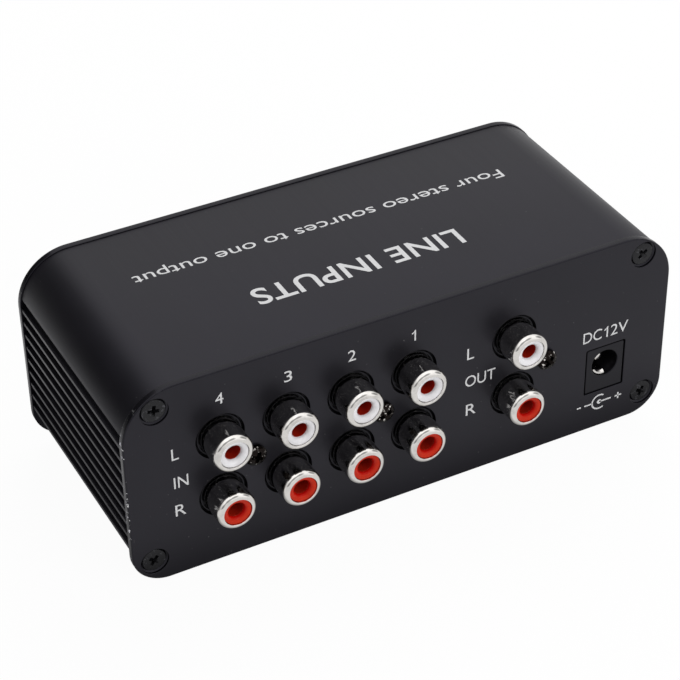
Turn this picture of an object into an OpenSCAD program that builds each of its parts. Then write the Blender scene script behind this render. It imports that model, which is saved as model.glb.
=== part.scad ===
// Stereo source selector: a finned aluminium case with phono inputs, one phono output,
// a power inlet at the rear and a push-and-turn selector knob at the front.
// X runs along the panels, Y from the rear panel to the front panel, Z up from the table.

/* [Case] */
// Width across the end panels
case_w = 122; // [108:1:150]
// Height of the end panels
case_h = 45.5; // [44:0.5:60]
// Length of the extruded shell between the end panels
shell_len = 51; // [48:1:90]
// Thickness of each end panel
panel_t = 1.5; // [1.4:0.1:2]
// Radius of the panels' upper corners
top_corner_r = 11.5; // [9:0.5:12]
// Radius of the panels' lower corners
bottom_corner_r = 7.75; // [6.5:0.25:9]
// How far the panels stand out past the shell all round
panel_lip = 0.2; // [0.1:0.05:0.4]
// Wall of the shell
wall_t = 1.6; // [1.2:0.1:2]

/* [Fins] */
// Number of fins on each side wall
fin_count = 9; // [4:1:9]
// Spacing of the fins
fin_pitch = 3.08; // [2.6:0.02:3.1]
// Thickness of a fin
fin_t = 0.85; // [0.6:0.05:1.2]
// How far a fin stands out from its wall
fin_depth = 1; // [0.6:0.1:1.4]
// Height of the lowest fin above the panels' lower edge
fin_z = 8.65; // [8:0.05:10]

/* [Feet] */
// Height of the rubber feet under the shell
foot_h = 2; // [1:0.5:6]
// Diameter of a foot where it is stuck to the shell
foot_d = 10; // [6:0.5:14]
// Distance of the feet from the ends and sides of the case
foot_inset = 12; // [10:0.5:16]

/* [Screws] */
// Thread diameter of all screws
screw_d = 2.9; // [2.5:0.1:3]
// Length of the panel screws
panel_screw_len = 9; // [6:0.5:12]
// Head diameter of the countersunk panel screws
flat_head_d = 5; // [4.8:0.1:5.3]
// Length of the screws that hold the jack blocks
block_screw_len = 8; // [6:0.5:10]
// Head diameter of the pan-head screws of the jack blocks
pan_head_d = 4.5; // [4.2:0.1:5]
// Head height of the pan-head screws
pan_head_h = 1.5; // [1.2:0.1:2]
// Distance of the upper panel screws from the case's sides
top_screw_x = 6.9; // [6.5:0.1:9]
// Distance of the upper panel screws from the panels' upper edge
top_screw_z = 4.7; // [4.5:0.1:6]
// Distance of the lower panel screws from the case's sides
bottom_screw_x = 4.6; // [4.4:0.1:6]
// Distance of the lower panel screws from the panels' lower edge
bottom_screw_z = 5.2; // [4.8:0.1:5.4]

/* [Main board] */
// Height of the main board's underside above the panels' lower edge
board_z = 8.1; // [8:0.1:9]
// Thickness of the circuit boards
board_t = 1.6; // [1:0.1:2]
// Width of the rails that hold the main board
rail_w = 2; // [1.5:0.1:3]
// Thickness of the rails
rail_t = 1.2; // [0.8:0.1:1.6]

/* [Phono jacks] */
// Number of stereo inputs
input_count = 4; // [2:1:4]
// Spacing of the jacks, across and up
jack_pitch = 14; // [13:0.5:15]
// Outer diameter of a jack's barrel
barrel_d = 8.3; // [8:0.1:8.6]
// Inner diameter of the rolled lip at the front of a barrel
lip_d = 6; // [5.6:0.1:6.4]
// Wall of a barrel
barrel_wall = 0.55; // [0.45:0.05:0.6]
// How far the jacks stand out from the rear panel
jack_reach = 6.6; // [6:0.1:10]
// Bore of a jack's centre contact
contact_d = 3.3; // [3.2:0.05:3.5]
// Length of a centre contact
contact_len = 5.4; // [5:0.1:6]
// Diameter of the panel holes around the jacks
jack_hole_d = 10.2; // [9.8:0.1:11]
// Height of the lower jacks above the main board
jack_z = 6.55; // [6:0.05:8]
// Share of the panel's spare width that lies left of the input block
input_share = 0.335; // [0.3:0.005:0.36]
// Share of the panel's spare width between the input and output blocks
output_share = 0.2305; // [0.2:0.0005:0.25]
// How much higher the output jacks sit than the inputs
output_lift = 0.5; // [0:0.1:1]
// Depth of the jack blocks behind the rear panel
block_d = 11; // [10:0.5:13]

/* [Power inlet] */
// Width of the inlet's face
inlet_w = 9; // [8.6:0.1:10]
// Height of the inlet's face above the main board
inlet_h = 10.9; // [10.2:0.1:12]
// Length of the inlet's body
inlet_len = 14; // [12.5:0.5:16]
// Share of the panel's spare width between the output block and the inlet
inlet_share = 0.154; // [0.14:0.002:0.16]
// Diameter of the plug hole
inlet_hole_d = 6.2; // [6:0.1:6.6]
// Height of the plug hole above the main board
inlet_hole_z = 6.6; // [5.6:0.1:6.8]
// Diameter of the centre pin
inlet_pin_d = 2.1; // [2:0.1:2.5]

/* [Front controls] */
// Distance of the selector knob from the case's left side, seen from the rear
knob_edge = 31; // [26:0.5:34]
// Height of the front controls above the panels' lower edge
control_z = 22.75; // [21.5:0.25:26]
// Diameter of the knob
knob_d = 22; // [20:0.5:26]
// Height of the knob
knob_h = 16; // [14:0.5:20]
// Gap between the knob and the front panel
knob_gap = 1; // [0.8:0.1:2]
// Number of flutes around the knob's grip
flute_count = 40; // [24:2:48]
// Travel of the knob when it is pressed
push_travel = 0.5; // [0.3:0.1:0.6]
// Diameter of the encoder's shaft
shaft_d = 6; // [5.5:0.1:6]
// Diameter of the channel lamps
led_d = 3; // [2.6:0.1:4]
// Spacing of the channel lamps
led_pitch = 10; // [8:0.5:11]
// Distance of the outermost channel lamp from the case's right side, seen from the rear
led_edge = 16; // [15:0.5:20]
// Diameter of the infrared window
window_d = 7; // [6:0.5:8]

/* [Hidden] */
$fn = 64;

// Clearance between pieces that are fitted together and do not move
fit_gap = 0.05;
// Clearance of a screw in a hole that it passes through
pass_gap = 0.15;
// Radial clearance of the pieces that slide and turn in the encoder
run_gap = 0.03;
// Extra length of a cut past a face, so that it opens cleanly
cut = 1;

// Case: the panels' lower edges hang a lip's width below the shell's underside
case_d = shell_len + 2 * panel_t;
case_z = foot_h - panel_lip;
rear_y = (jack_reach - case_d - knob_gap - knob_h) / 2;
front_y = rear_y + case_d;
left_x = -case_w / 2;
right_x = case_w / 2;
sides = [-1, 1];

// Shell section: outer skin, wall behind the fins and cavity
skin_w = case_w - 2 * panel_lip;
skin_h = case_h - 2 * panel_lip;
skin_top_r = top_corner_r - panel_lip;
skin_bottom_r = bottom_corner_r - panel_lip;
body_w = skin_w - 2 * fin_depth;
body_top_r = skin_top_r - fin_depth;
cavity_w = body_w - 2 * wall_t;
cavity_h = skin_h - 2 * wall_t;
cavity_z = panel_lip + wall_t;
cavity_top_r = body_top_r - wall_t;
cavity_bottom_r = skin_bottom_r - wall_t;
crown_z = fin_z + fin_count * fin_pitch;
boss_wall = 1.15;
boss_r = screw_d / 2 + boss_wall;
channel_gap = 1.2;

// Screws
screw_r = screw_d / 2;
pilot_r = screw_r + fit_gap;
pass_r = screw_r + pass_gap;
flat_head_r = flat_head_d / 2;
flat_head_h = flat_head_r - screw_r;
head_sink_most = 0.4;
head_sink = min(head_sink_most, panel_t - flat_head_h - fit_gap);
recess_w = 0.7;
recess_len = 2.8;
recess_d = 0.9;
pan_edge = 0.6;
panel_screws = [for (s = sides) each [
    [s * (case_w / 2 - top_screw_x), case_h - top_screw_z],
    [s * (case_w / 2 - bottom_screw_x), bottom_screw_z]]];

// Main board in the shell's slots
slot_gap = 0.1;
board_edge_gap = 0.3;
board_end_gap = 0.5;
board_w = cavity_w - 2 * board_edge_gap;
board_len = shell_len - 2 * board_end_gap;
board_top = board_z + board_t;
inside_y = rear_y + panel_t;

// Phono jacks: left channel above, right channel below
barrel_r = barrel_d / 2;
lip_r = lip_d / 2;
nose_r = barrel_r - lip_r;
bore_r = barrel_r - barrel_wall;
tail_share = 0.65;
tail_wall = barrel_wall * tail_share;
tail_r = bore_r + tail_wall;
collar_sink = 0.5;
collar_gap = 0.3;
collar_edge = 0.15;
collar_r = jack_hole_d / 2 - collar_gap;
moat_gap = 0.3;
moat_r = barrel_r + moat_gap;
moat_d = 0.9;
barrel_len = jack_reach + collar_sink;
socket_d = 7;
tail_len = socket_d - collar_sink;
jack_len = barrel_len + tail_len;
face_sink = 0.35;
funnel_wall = 0.45;
funnel_d = 0.9;
guide_r = contact_d / 2;
guide_len = 0.05;
contact_a = face_sink + funnel_d + guide_len;
contact_wall = 0.5;
contact_r = contact_d / 2 + contact_wall;
row_z = [board_top + jack_z + jack_pitch, board_top + jack_z];
channels = ["left", "right"];
channel_colour = ["white", "crimson"];
// Jack blocks and inlet stand side by side, and the panel's spare width is shared out between them
block_margin = 0.75;
ear_w = 5.5;
input_block_w = input_count * jack_pitch + 2 * block_margin;
output_block_w = jack_pitch + ear_w;
spare_w = case_w - input_block_w - output_block_w - inlet_w;
input_block_x = left_x + input_share * spare_w;
output_block_x = input_block_x + input_block_w + output_share * spare_w;
inlet_x = output_block_x + output_block_w + inlet_share * spare_w + inlet_w / 2;
input_x = input_block_x + block_margin + jack_pitch / 2;
output_x = output_block_x + jack_pitch / 2;
// Each jack is its name, place along the panel, height and colour; input 1 is nearest the output
input_jacks = [for (i = [1 : input_count], c = [0, 1])
    [str("input_", i, "_", channels[c]), input_x + (input_count - i) * jack_pitch, row_z[c],
        channel_colour[c]]];
output_jacks = [for (c = [0, 1])
    [str("output_", channels[c]), output_x, row_z[c] + output_lift, channel_colour[c]]];
jacks = concat(input_jacks, output_jacks);

// Screws of the jack blocks: the input block's sit between its columns, the output block's in its ear
block_top = row_z[0] + jack_pitch / 2;
output_screw_x = 7.8;
output_screw_drop = 0.6;
block_mid_z = (row_z[0] + row_z[1]) / 2;
input_right = input_x + (input_count - 1) * jack_pitch;
input_screws = [[input_x + jack_pitch / 2, block_mid_z], [input_right - jack_pitch / 2, block_mid_z]];
output_screw = [output_x + output_screw_x, block_mid_z - output_screw_drop];

// Power inlet
inlet_gap = 0.3;
inlet_sink = 0.1;
inlet_wall = 3.5;
inlet_hole_len = inlet_len - inlet_wall;
inlet_hole_r = inlet_hole_d / 2;
pin_r = inlet_pin_d / 2;
pin_sink = 2.6;
pin_tip = 0.5;
pin_step = 0.2;
pin_root_r = pin_r - pin_step;
spring_t = 0.35;
spring_sink = 0.4;
spring_gap = 0.2;
spring_r = inlet_hole_r - spring_gap;
spring_half_w = 2;
spring_turn = 30;

// Front controls: the encoder, lamps and infrared receiver are soldered to an upright board
knob_x = left_x + knob_edge;
encoder_w = 12;
encoder_d = 6.5;
front_board_a = panel_t + encoder_d;
front_board_h = control_z - board_top + encoder_w;
front_board_margin = 4;
bushing_wall = 0.5;
bushing_r = shaft_d / 2 + bushing_wall;
bushing_reach = 4.5;
nut_w = 10;
nut_h = 2;
chamber_r = 4.2;
chamber_wall = 1.5;
chamber_a = panel_t + chamber_wall;
collar_t = 0.8;
axial_gap = 0.3;
plunger_gap = 0.1;
plunger_t = 0.8;
plunger_stem_r = 1.5;
shaft_r = shaft_d / 2;
shaft_tail = 0.5;
shaft_back = chamber_a + axial_gap + collar_t + shaft_tail;
plunger_a = shaft_back + plunger_gap;
plunger_stem = 0.7;
chamber_back = plunger_a + plunger_t + plunger_stem + push_travel + axial_gap;
shaft_cover = 4;
shaft_reach = knob_gap + knob_h - shaft_cover;
knob_r = knob_d / 2;
nut_room = 2.6;
knob_recess_r = nut_w / 2 + nut_room;
bushing_room = 1;
knob_recess_d = bushing_reach - knob_gap + push_travel + bushing_room;
skirt_h = 2;
flute_r = 0.55;
flute_depth = 0.35;
dish_d = 0.5;
dish_rim = 2.2;
knob_edge_cut = 0.8;
set_screw_r = 1.4;
set_screw_len = 4;
set_screw_wall = 1;
set_screw_a = knob_gap + knob_recess_d + set_screw_r + set_screw_wall;
led_r = led_d / 2;
led_flange_w = 0.4;
led_flange_t = 1;
led_body = 3.2;
led_reach = 0.8;
lead_r = 0.25;
lead_pitch = 2.54;
led_x = [for (i = [0 : input_count - 1]) right_x - led_edge - (input_count - 1 - i) * led_pitch];
window_r = window_d / 2;
window_flange = 0.8;
window_flange_t = 0.7;
window_reach = 0.3;
window_step = 1.5;
window_x = led_x[0] - window_step * led_pitch;
receiver_w = 7;
receiver_h = 8;
receiver_dome_r = 2.3;
receiver_a = panel_t + window_flange_t + receiver_dome_r + axial_gap;
front_board_x0 = knob_x - encoder_w / 2 - front_board_margin;
front_board_x1 = led_x[input_count - 1] + front_board_margin;
header_w = 15;
header_t = 2.5;

// Components on the main board
relay_w = 10;
relay_len = 20;
relay_h = 11.4;
relay_gap = 2.5;
relay_y = inside_y + block_d + relay_gap;
chip_w = 6.4;
chip_len = 9.6;
chip_h = 3.2;
chip_leg = 0.5;
chip_pitch = 1.27;
regulator_w = 10;
regulator_h = 16;
tab_t = 1.2;
tab_hole_r = 1.8;
regulator_body_h = 9;
regulator_t = 4.4;
regulator_lift = 3.5;
capacitor_r = 4;
capacitor_h = 12;
capacitor_round = 0.8;
capacitor_gap = 2;

// Places: depth counts into the case from the outer face of a panel
module at_rear(x, z, depth = 0) {
    translate([x, rear_y + depth, case_z + z]) rotate([-90, 0, 0]) children();
}

module at_front(x, z, depth = 0) {
    translate([x, front_y - depth, case_z + z]) rotate([90, 0, 0]) children();
}

// A flat outline stood upright and given a thickness along Y
module upright(y, t) {
    translate([0, y + t, case_z]) rotate([90, 0, 0]) linear_extrude(t) children();
}

// An upright box on the main board, centred on x
module on_board(x, y, size) {
    translate([x - size[0] / 2, y, case_z + board_top]) cube(size);
}

// Rectangle with one radius for its upper corners and one for its lower corners
module round_box(w, h, top_r, bottom_r) {
    translate([-w / 2, bottom_r]) square([w, h - top_r - bottom_r]);
    translate([top_r - w / 2, bottom_r]) square([w - 2 * top_r, h - bottom_r]);
    translate([bottom_r - w / 2, 0]) square([w - 2 * bottom_r, h - top_r]);
    for (s = sides) {
        translate([s * (w / 2 - top_r), h - top_r]) circle(top_r);
        translate([s * (w / 2 - bottom_r), bottom_r]) circle(bottom_r);
    }
}

module panel_outline() {
    round_box(case_w, case_h, top_corner_r, bottom_corner_r);
}

// Shell section
module skin_outline() {
    translate([0, panel_lip]) round_box(skin_w, skin_h, skin_top_r, skin_bottom_r);
}

module body_outline() {
    translate([0, panel_lip]) round_box(body_w, skin_h, body_top_r, skin_bottom_r);
}

module cavity_outline() {
    translate([0, cavity_z]) round_box(cavity_w, cavity_h, cavity_top_r, cavity_bottom_r);
}

// The fins' flat tips lie in the skin
module fin_rows() {
    intersection() {
        skin_outline();
        for (i = [0 : fin_count - 1]) translate([-skin_w / 2, fin_z + i * fin_pitch]) square([skin_w, fin_t]);
    }
}

module crown() {
    intersection() {
        skin_outline();
        translate([-case_w / 2, crown_z]) square([case_w, case_h - crown_z]);
    }
}

module screw_bosses() {
    intersection() {
        for (p = panel_screws) translate(p) circle(boss_r);
        body_outline();
    }
}

// A screw channel is open towards the middle of the case
module screw_channels() {
    for (p = panel_screws) translate(p) {
        circle(pilot_r);
        rotate(atan2(case_h / 2 - p[1], -sign(p[0]) * case_h / 2)) translate([0, -channel_gap / 2])
            square([boss_r + cut, channel_gap]);
    }
}

module board_rails() {
    rail_h = board_t + 2 * slot_gap + 2 * rail_t;
    rail_root = wall_t / 2;
    full_w = rail_w + rail_root;
    for (s = sides) translate([s * (cavity_w / 2 + rail_root - full_w / 2), board_z - slot_gap - rail_t])
        translate([-full_w / 2, 0]) square([full_w, rail_h]);
}

module board_slot() {
    translate([-cavity_w / 2, board_z - slot_gap]) square([cavity_w, board_t + 2 * slot_gap]);
}

module shell_section() {
    difference() {
        union() {
            difference() {
                union() {
                    body_outline();
                    fin_rows();
                    crown();
                }
                cavity_outline();
            }
            screw_bosses();
            board_rails();
        }
        screw_channels();
        board_slot();
    }
}

// Screws: z = 0 is the panel's outer face and the shank points into the case
module cross_recess() {
    for (a = [0, 90]) rotate(a) translate([-recess_len / 2, -recess_w / 2, -cut])
        cube([recess_len, recess_w, recess_d + cut]);
}

module flat_screw() {
    translate([0, 0, head_sink]) difference() {
        union() {
            cylinder(r1 = flat_head_r, r2 = screw_r, h = flat_head_h);
            cylinder(r = screw_r, h = panel_screw_len - head_sink);
        }
        cross_recess();
    }
}

module flat_screw_hole() {
    sink_r = flat_head_r + head_sink + fit_gap;
    bottom_r = screw_r + fit_gap;
    translate([0, 0, -cut]) cylinder(r1 = sink_r + cut, r2 = bottom_r, h = cut + sink_r - bottom_r);
    translate([0, 0, -cut]) cylinder(r = pass_r, h = panel_t + 2 * cut);
}

module pan_screw() {
    difference() {
        union() {
            translate([0, 0, -pan_head_h])
                cylinder(d1 = pan_head_d - 2 * pan_edge, d2 = pan_head_d, h = pan_edge);
            translate([0, 0, pan_edge - pan_head_h]) cylinder(d = pan_head_d, h = pan_head_h - pan_edge);
            cylinder(r = screw_r, h = block_screw_len);
        }
        translate([0, 0, -pan_head_h]) cross_recess();
    }
}

// Case
module case_shell() {
    color([0.13, 0.13, 0.14]) upright(inside_y, shell_len) shell_section();
}

module rear_panel() {
    color([0.11, 0.11, 0.12]) difference() {
        upright(rear_y, panel_t) panel_outline();
        for (j = jacks) at_rear(j[1], j[2], -cut) cylinder(d = jack_hole_d, h = panel_t + 2 * cut);
        for (p = concat(input_screws, [output_screw])) at_rear(p[0], p[1], -cut)
            cylinder(r = pass_r, h = panel_t + 2 * cut);
        for (p = panel_screws) at_rear(p[0], p[1]) flat_screw_hole();
        translate([inlet_x - inlet_w / 2 - inlet_gap, rear_y - cut, case_z + board_top - inlet_gap])
            cube([inlet_w + 2 * inlet_gap, panel_t + 2 * cut, inlet_h + 2 * inlet_gap]);
    }
}

module front_panel() {
    color([0.11, 0.11, 0.12]) difference() {
        upright(front_y - panel_t, panel_t) panel_outline();
        at_front(knob_x, control_z, -cut) cylinder(r = bushing_r + pass_gap, h = panel_t + 2 * cut);
        for (x = led_x) at_front(x, control_z, -cut) cylinder(r = led_r + fit_gap, h = panel_t + 2 * cut);
        at_front(window_x, control_z, -cut) cylinder(r = window_r + fit_gap, h = panel_t + 2 * cut);
        for (p = panel_screws) at_front(p[0], p[1]) flat_screw_hole();
    }
}

module rear_panel_screws() {
    color([0.08, 0.08, 0.09]) for (p = panel_screws) at_rear(p[0], p[1]) flat_screw();
}

module front_panel_screws() {
    color([0.08, 0.08, 0.09]) for (p = panel_screws) at_front(p[0], p[1]) flat_screw();
}

module foot(i) {
    x = (i % 2 == 0 ? 1 : -1) * (case_w / 2 - foot_inset);
    y = i <= 2 ? rear_y + foot_inset : front_y - foot_inset;
    foot_taper = foot_h / 4;
    color([0.05, 0.05, 0.05]) translate([x, y, 0])
        cylinder(d1 = foot_d - 2 * foot_taper, d2 = foot_d, h = foot_h);
}

// Phono jacks: profiles count from the front of the lip into the case
module jack_shell(j) {
    color("silver") at_rear(j[1], j[2], -jack_reach) rotate_extrude() {
        translate([lip_r, 0]) intersection() {
            translate([0, nose_r]) circle(nose_r);
            square(nose_r);
        }
        translate([bore_r, nose_r]) square([barrel_wall, barrel_len - nose_r]);
        translate([bore_r, barrel_len]) square([tail_wall, tail_len]);
    }
}

module jack_insulator(j) {
    nose_out_r = lip_r - fit_gap;
    body_r = bore_r - fit_gap;
    shoulder = nose_r + fit_gap;
    seat_r = contact_r + fit_gap;
    color(j[3]) at_rear(j[1], j[2], -jack_reach) rotate_extrude() polygon([
        [guide_r, face_sink + funnel_d], [nose_out_r - funnel_wall, face_sink], [nose_out_r, face_sink],
        [nose_out_r, shoulder], [body_r, shoulder], [body_r, jack_len], [seat_r, jack_len],
        [seat_r, contact_a], [guide_r, contact_a]]);
}

module jack_contacts(group) {
    color([0.6, 0.3, 0.16]) for (j = group) at_rear(j[1], j[2], contact_a - jack_reach) difference() {
        cylinder(r = contact_r, h = contact_len);
        translate([0, 0, -cut]) cylinder(d = contact_d, h = contact_len + 2 * cut);
    }
}

// A block's collar around one barrel, with a bevelled edge
module jack_collar() {
    cylinder(r1 = collar_r - collar_edge, r2 = collar_r, h = collar_edge);
    translate([0, 0, collar_edge]) cylinder(r = collar_r, h = panel_t + cut - collar_sink - collar_edge);
}

module jack_block(x, w, lift, group, screws) {
    color([0.06, 0.06, 0.07]) difference() {
        union() {
            translate([x, inside_y, case_z + board_top]) cube([w, block_d, block_top + lift - board_top]);
            for (j = group) at_rear(j[1], j[2], collar_sink) jack_collar();
        }
        for (j = group) at_rear(j[1], j[2], collar_sink - cut) {
            cylinder(r = tail_r + fit_gap, h = tail_len + fit_gap + cut);
            cylinder(r = moat_r, h = moat_d + cut);
        }
        for (p = screws) at_rear(p[0], p[1]) cylinder(r = pilot_r, h = block_screw_len + fit_gap);
    }
}

module input_jack_block() {
    jack_block(input_block_x, input_block_w, 0, input_jacks, input_screws);
}

module output_jack_block() {
    jack_block(output_block_x, output_block_w, output_lift, output_jacks, [output_screw]);
}

module input_block_screws() {
    color([0.16, 0.12, 0.1]) for (p = input_screws) at_rear(p[0], p[1]) pan_screw();
}

module output_block_screw() {
    color([0.16, 0.12, 0.1]) at_rear(output_screw[0], output_screw[1]) pan_screw();
}

// Power inlet
module inlet_body() {
    color([0.06, 0.06, 0.07]) difference() {
        on_board(inlet_x, rear_y + inlet_sink, [inlet_w, inlet_len, inlet_h]);
        at_rear(inlet_x, board_top + inlet_hole_z, inlet_sink - cut)
            cylinder(r = inlet_hole_r, h = inlet_hole_len + cut);
        at_rear(inlet_x, board_top + inlet_hole_z) cylinder(r = pin_root_r + fit_gap, h = inlet_len + cut);
    }
}

module inlet_pin() {
    pin_len = inlet_hole_len + inlet_sink - pin_sink;
    color("silver") at_rear(inlet_x, board_top + inlet_hole_z, pin_sink) rotate_extrude() polygon([
        [0, 0], [pin_r - pin_tip, 0], [pin_r, pin_tip], [pin_r, pin_len - fit_gap],
        [pin_root_r, pin_len - fit_gap], [pin_root_r, pin_len + inlet_wall], [0, pin_len + inlet_wall]]);
}

module inlet_spring() {
    color("silver") at_rear(inlet_x, board_top + inlet_hole_z, inlet_sink + spring_sink)
        rotate(spring_turn) intersection() {
            difference() {
                cylinder(r = spring_r, h = inlet_hole_len - spring_sink);
                translate([0, 0, -cut]) cylinder(r = spring_r - spring_t, h = inlet_hole_len + cut);
            }
            translate([-spring_half_w, 0, 0]) cube([2 * spring_half_w, inlet_hole_r, inlet_hole_len]);
        }
}

// Main board and its components
module main_board() {
    color("darkgreen") translate([-board_w / 2, inside_y + board_end_gap, case_z + board_z])
        cube([board_w, board_len, board_t]);
}

module relay(i) {
    color("ivory") on_board(input_x + (input_count - i) * jack_pitch, relay_y, [relay_w, relay_len, relay_h]);
}

module microcontroller() {
    x = output_x;
    y = relay_y + relay_gap;
    leg_count = floor(chip_len / chip_pitch);
    color([0.1, 0.1, 0.1]) {
        translate([0, 0, chip_leg]) on_board(x, y, [chip_w, chip_len, chip_h - chip_leg]);
        for (k = [0 : leg_count - 1], s = sides)
            on_board(x + s * chip_w / 2, y + (k + 0.5) * chip_len / leg_count - chip_leg / 2,
                [2 * chip_leg, chip_leg, chip_h / 2]);
    }
}

module regulator() {
    y = rear_y + inlet_sink + inlet_len + relay_gap;
    hole_z = regulator_lift + (regulator_h + regulator_body_h) / 2;
    color([0.2, 0.2, 0.2]) difference() {
        union() {
            translate([0, 0, regulator_lift]) {
                on_board(inlet_x, y, [regulator_w, regulator_t, regulator_body_h]);
                on_board(inlet_x, y, [regulator_w, tab_t, regulator_h]);
            }
            for (k = [-1 : 1]) on_board(inlet_x + k * lead_pitch, y + regulator_t / 2,
                [2 * lead_r, 2 * lead_r, regulator_lift + lead_r]);
        }
        at_rear(inlet_x, board_top + hole_z, y - rear_y - cut) cylinder(r = tab_hole_r, h = tab_t + 2 * cut);
    }
}

module filter_capacitors() {
    y = rear_y + inlet_sink + inlet_len + 2 * relay_gap + regulator_t + capacitor_r;
    color("midnightblue") for (s = [0, 1])
        translate([inlet_x - s * (2 * capacitor_r + capacitor_gap), y, case_z + board_top]) {
            cylinder(r = capacitor_r, h = capacitor_h - capacitor_round);
            translate([0, 0, capacitor_h - capacitor_round])
                cylinder(r1 = capacitor_r, r2 = capacitor_r - capacitor_round, h = capacitor_round);
        }
}

// Front board and its components: depth counts from the front panel's outer face
module front_board() {
    color("darkgreen") translate([front_board_x0, front_y - front_board_a - board_t, case_z + board_top])
        cube([front_board_x1 - front_board_x0, board_t, front_board_h]);
}

module board_header() {
    color([0.1, 0.1, 0.1]) on_board((front_board_x0 + front_board_x1) / 2,
        front_y - front_board_a - board_t - header_t, [header_w, header_t, header_t]);
}

module encoder_body() {
    color([0.45, 0.45, 0.47]) at_front(knob_x, control_z) difference() {
        union() {
            translate([-encoder_w / 2, -encoder_w / 2, panel_t]) cube([encoder_w, encoder_w, encoder_d]);
            translate([0, 0, -bushing_reach]) cylinder(r = bushing_r, h = bushing_reach + panel_t + cut);
        }
        translate([0, 0, -bushing_reach - cut])
            cylinder(r = shaft_r + run_gap, h = bushing_reach + chamber_a + 2 * cut);
        translate([0, 0, chamber_a]) cylinder(r = chamber_r, h = chamber_back - chamber_a);
    }
}

module encoder_nut() {
    color("silver") at_front(knob_x, control_z, -nut_h) difference() {
        cylinder(d = nut_w / cos(30), h = nut_h, $fn = 6);
        translate([0, 0, -cut]) cylinder(r = bushing_r + fit_gap, h = nut_h + 2 * cut);
    }
}

module encoder_shaft() {
    color("silver") at_front(knob_x, control_z) {
        translate([0, 0, -shaft_reach]) cylinder(r = shaft_r, h = shaft_reach + shaft_back);
        translate([0, 0, chamber_a + axial_gap]) cylinder(r = chamber_r - axial_gap, h = collar_t);
    }
}

module push_plunger() {
    color("white") at_front(knob_x, control_z, plunger_a) {
        cylinder(r = chamber_r - run_gap, h = plunger_t);
        cylinder(r = plunger_stem_r, h = plunger_t + plunger_stem);
    }
}

module knob_grip_outline() {
    difference() {
        circle(knob_r);
        for (k = [0 : flute_count - 1]) rotate(k * 360 / flute_count)
            translate([knob_r + flute_r - flute_depth, 0]) circle(flute_r);
    }
}

module knob() {
    top_a = -knob_gap - knob_h;
    dish_r = knob_r - dish_rim;
    face_r = knob_r - flute_depth;
    color([0.12, 0.12, 0.13]) at_front(knob_x, control_z) difference() {
        union() {
            translate([0, 0, top_a + knob_edge_cut])
                linear_extrude(knob_h - knob_edge_cut - skirt_h) knob_grip_outline();
            translate([0, 0, -knob_gap - skirt_h]) cylinder(r = knob_r, h = skirt_h);
            translate([0, 0, top_a])
                cylinder(r1 = face_r - knob_edge_cut, r2 = face_r, h = knob_edge_cut);
        }
        translate([0, 0, top_a - cut]) cylinder(r = dish_r, h = cut + dish_d);
        translate([0, 0, -knob_gap - knob_recess_d]) cylinder(r = knob_recess_r, h = knob_recess_d + cut);
        translate([0, 0, -shaft_reach - fit_gap]) cylinder(r = shaft_r + fit_gap, h = shaft_reach);
        translate([0, 0, -set_screw_a]) rotate([90, 0, 0])
            cylinder(r = set_screw_r + fit_gap, h = knob_r + cut);
    }
}

module knob_set_screw() {
    color([0.08, 0.08, 0.09]) at_front(knob_x, control_z, -set_screw_a) rotate([90, 0, 0])
        translate([0, 0, shaft_r + fit_gap]) cylinder(r = set_screw_r, h = set_screw_len);
}

module channel_led(i) {
    lamp_len = panel_t + led_body;
    color([0.75, 0.85, 1]) at_front(led_x[i - 1], control_z) {
        translate([0, 0, led_r - led_reach]) {
            sphere(led_r);
            cylinder(r = led_r, h = lamp_len - led_r + led_reach);
        }
        translate([0, 0, panel_t]) cylinder(r = led_r + led_flange_w, h = led_flange_t);
        for (s = sides) translate([s * lead_pitch / 2, 0, lamp_len - lead_r])
            cylinder(r = lead_r, h = front_board_a - lamp_len + lead_r);
    }
}

module infrared_window() {
    color([0.2, 0.02, 0.03]) at_front(window_x, control_z) {
        translate([0, 0, -window_reach]) cylinder(r = window_r, h = panel_t + window_reach + window_flange_t);
        translate([0, 0, panel_t]) cylinder(r = window_r + window_flange, h = window_flange_t);
    }
}

module infrared_receiver() {
    color([0.1, 0.1, 0.1]) at_front(window_x, control_z) {
        translate([-receiver_w / 2, -receiver_h / 2, receiver_a])
            cube([receiver_w, receiver_h, front_board_a - receiver_a]);
        translate([0, 0, receiver_a]) sphere(receiver_dome_r);
    }
}

case_shell();
rear_panel();
front_panel();
rear_panel_screws();
front_panel_screws();
for (i = [1 : 4]) foot(i);
input_jack_block();
output_jack_block();
for (j = jacks) jack_shell(j);
for (j = jacks) jack_insulator(j);
jack_contacts(input_jacks);  // input_contacts
jack_contacts(output_jacks);  // output_contacts
input_block_screws();
output_block_screw();
inlet_body();
inlet_pin();
inlet_spring();
main_board();
for (i = [1 : input_count]) relay(i);
microcontroller();
regulator();
filter_capacitors();
front_board();
board_header();
encoder_body();
encoder_nut();
encoder_shaft();
push_plunger();
knob();
knob_set_screw();
for (i = [1 : input_count]) channel_led(i);
infrared_receiver();
infrared_window();
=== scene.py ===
"""Looks of a stereo source selector: a finned black case with phono jacks, a power inlet and a knob."""

import math

import bmesh
import bpy
from bpy.props import FloatProperty, FloatVectorProperty, IntProperty, PointerProperty
from mathutils import Euler, Matrix, Vector


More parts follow.
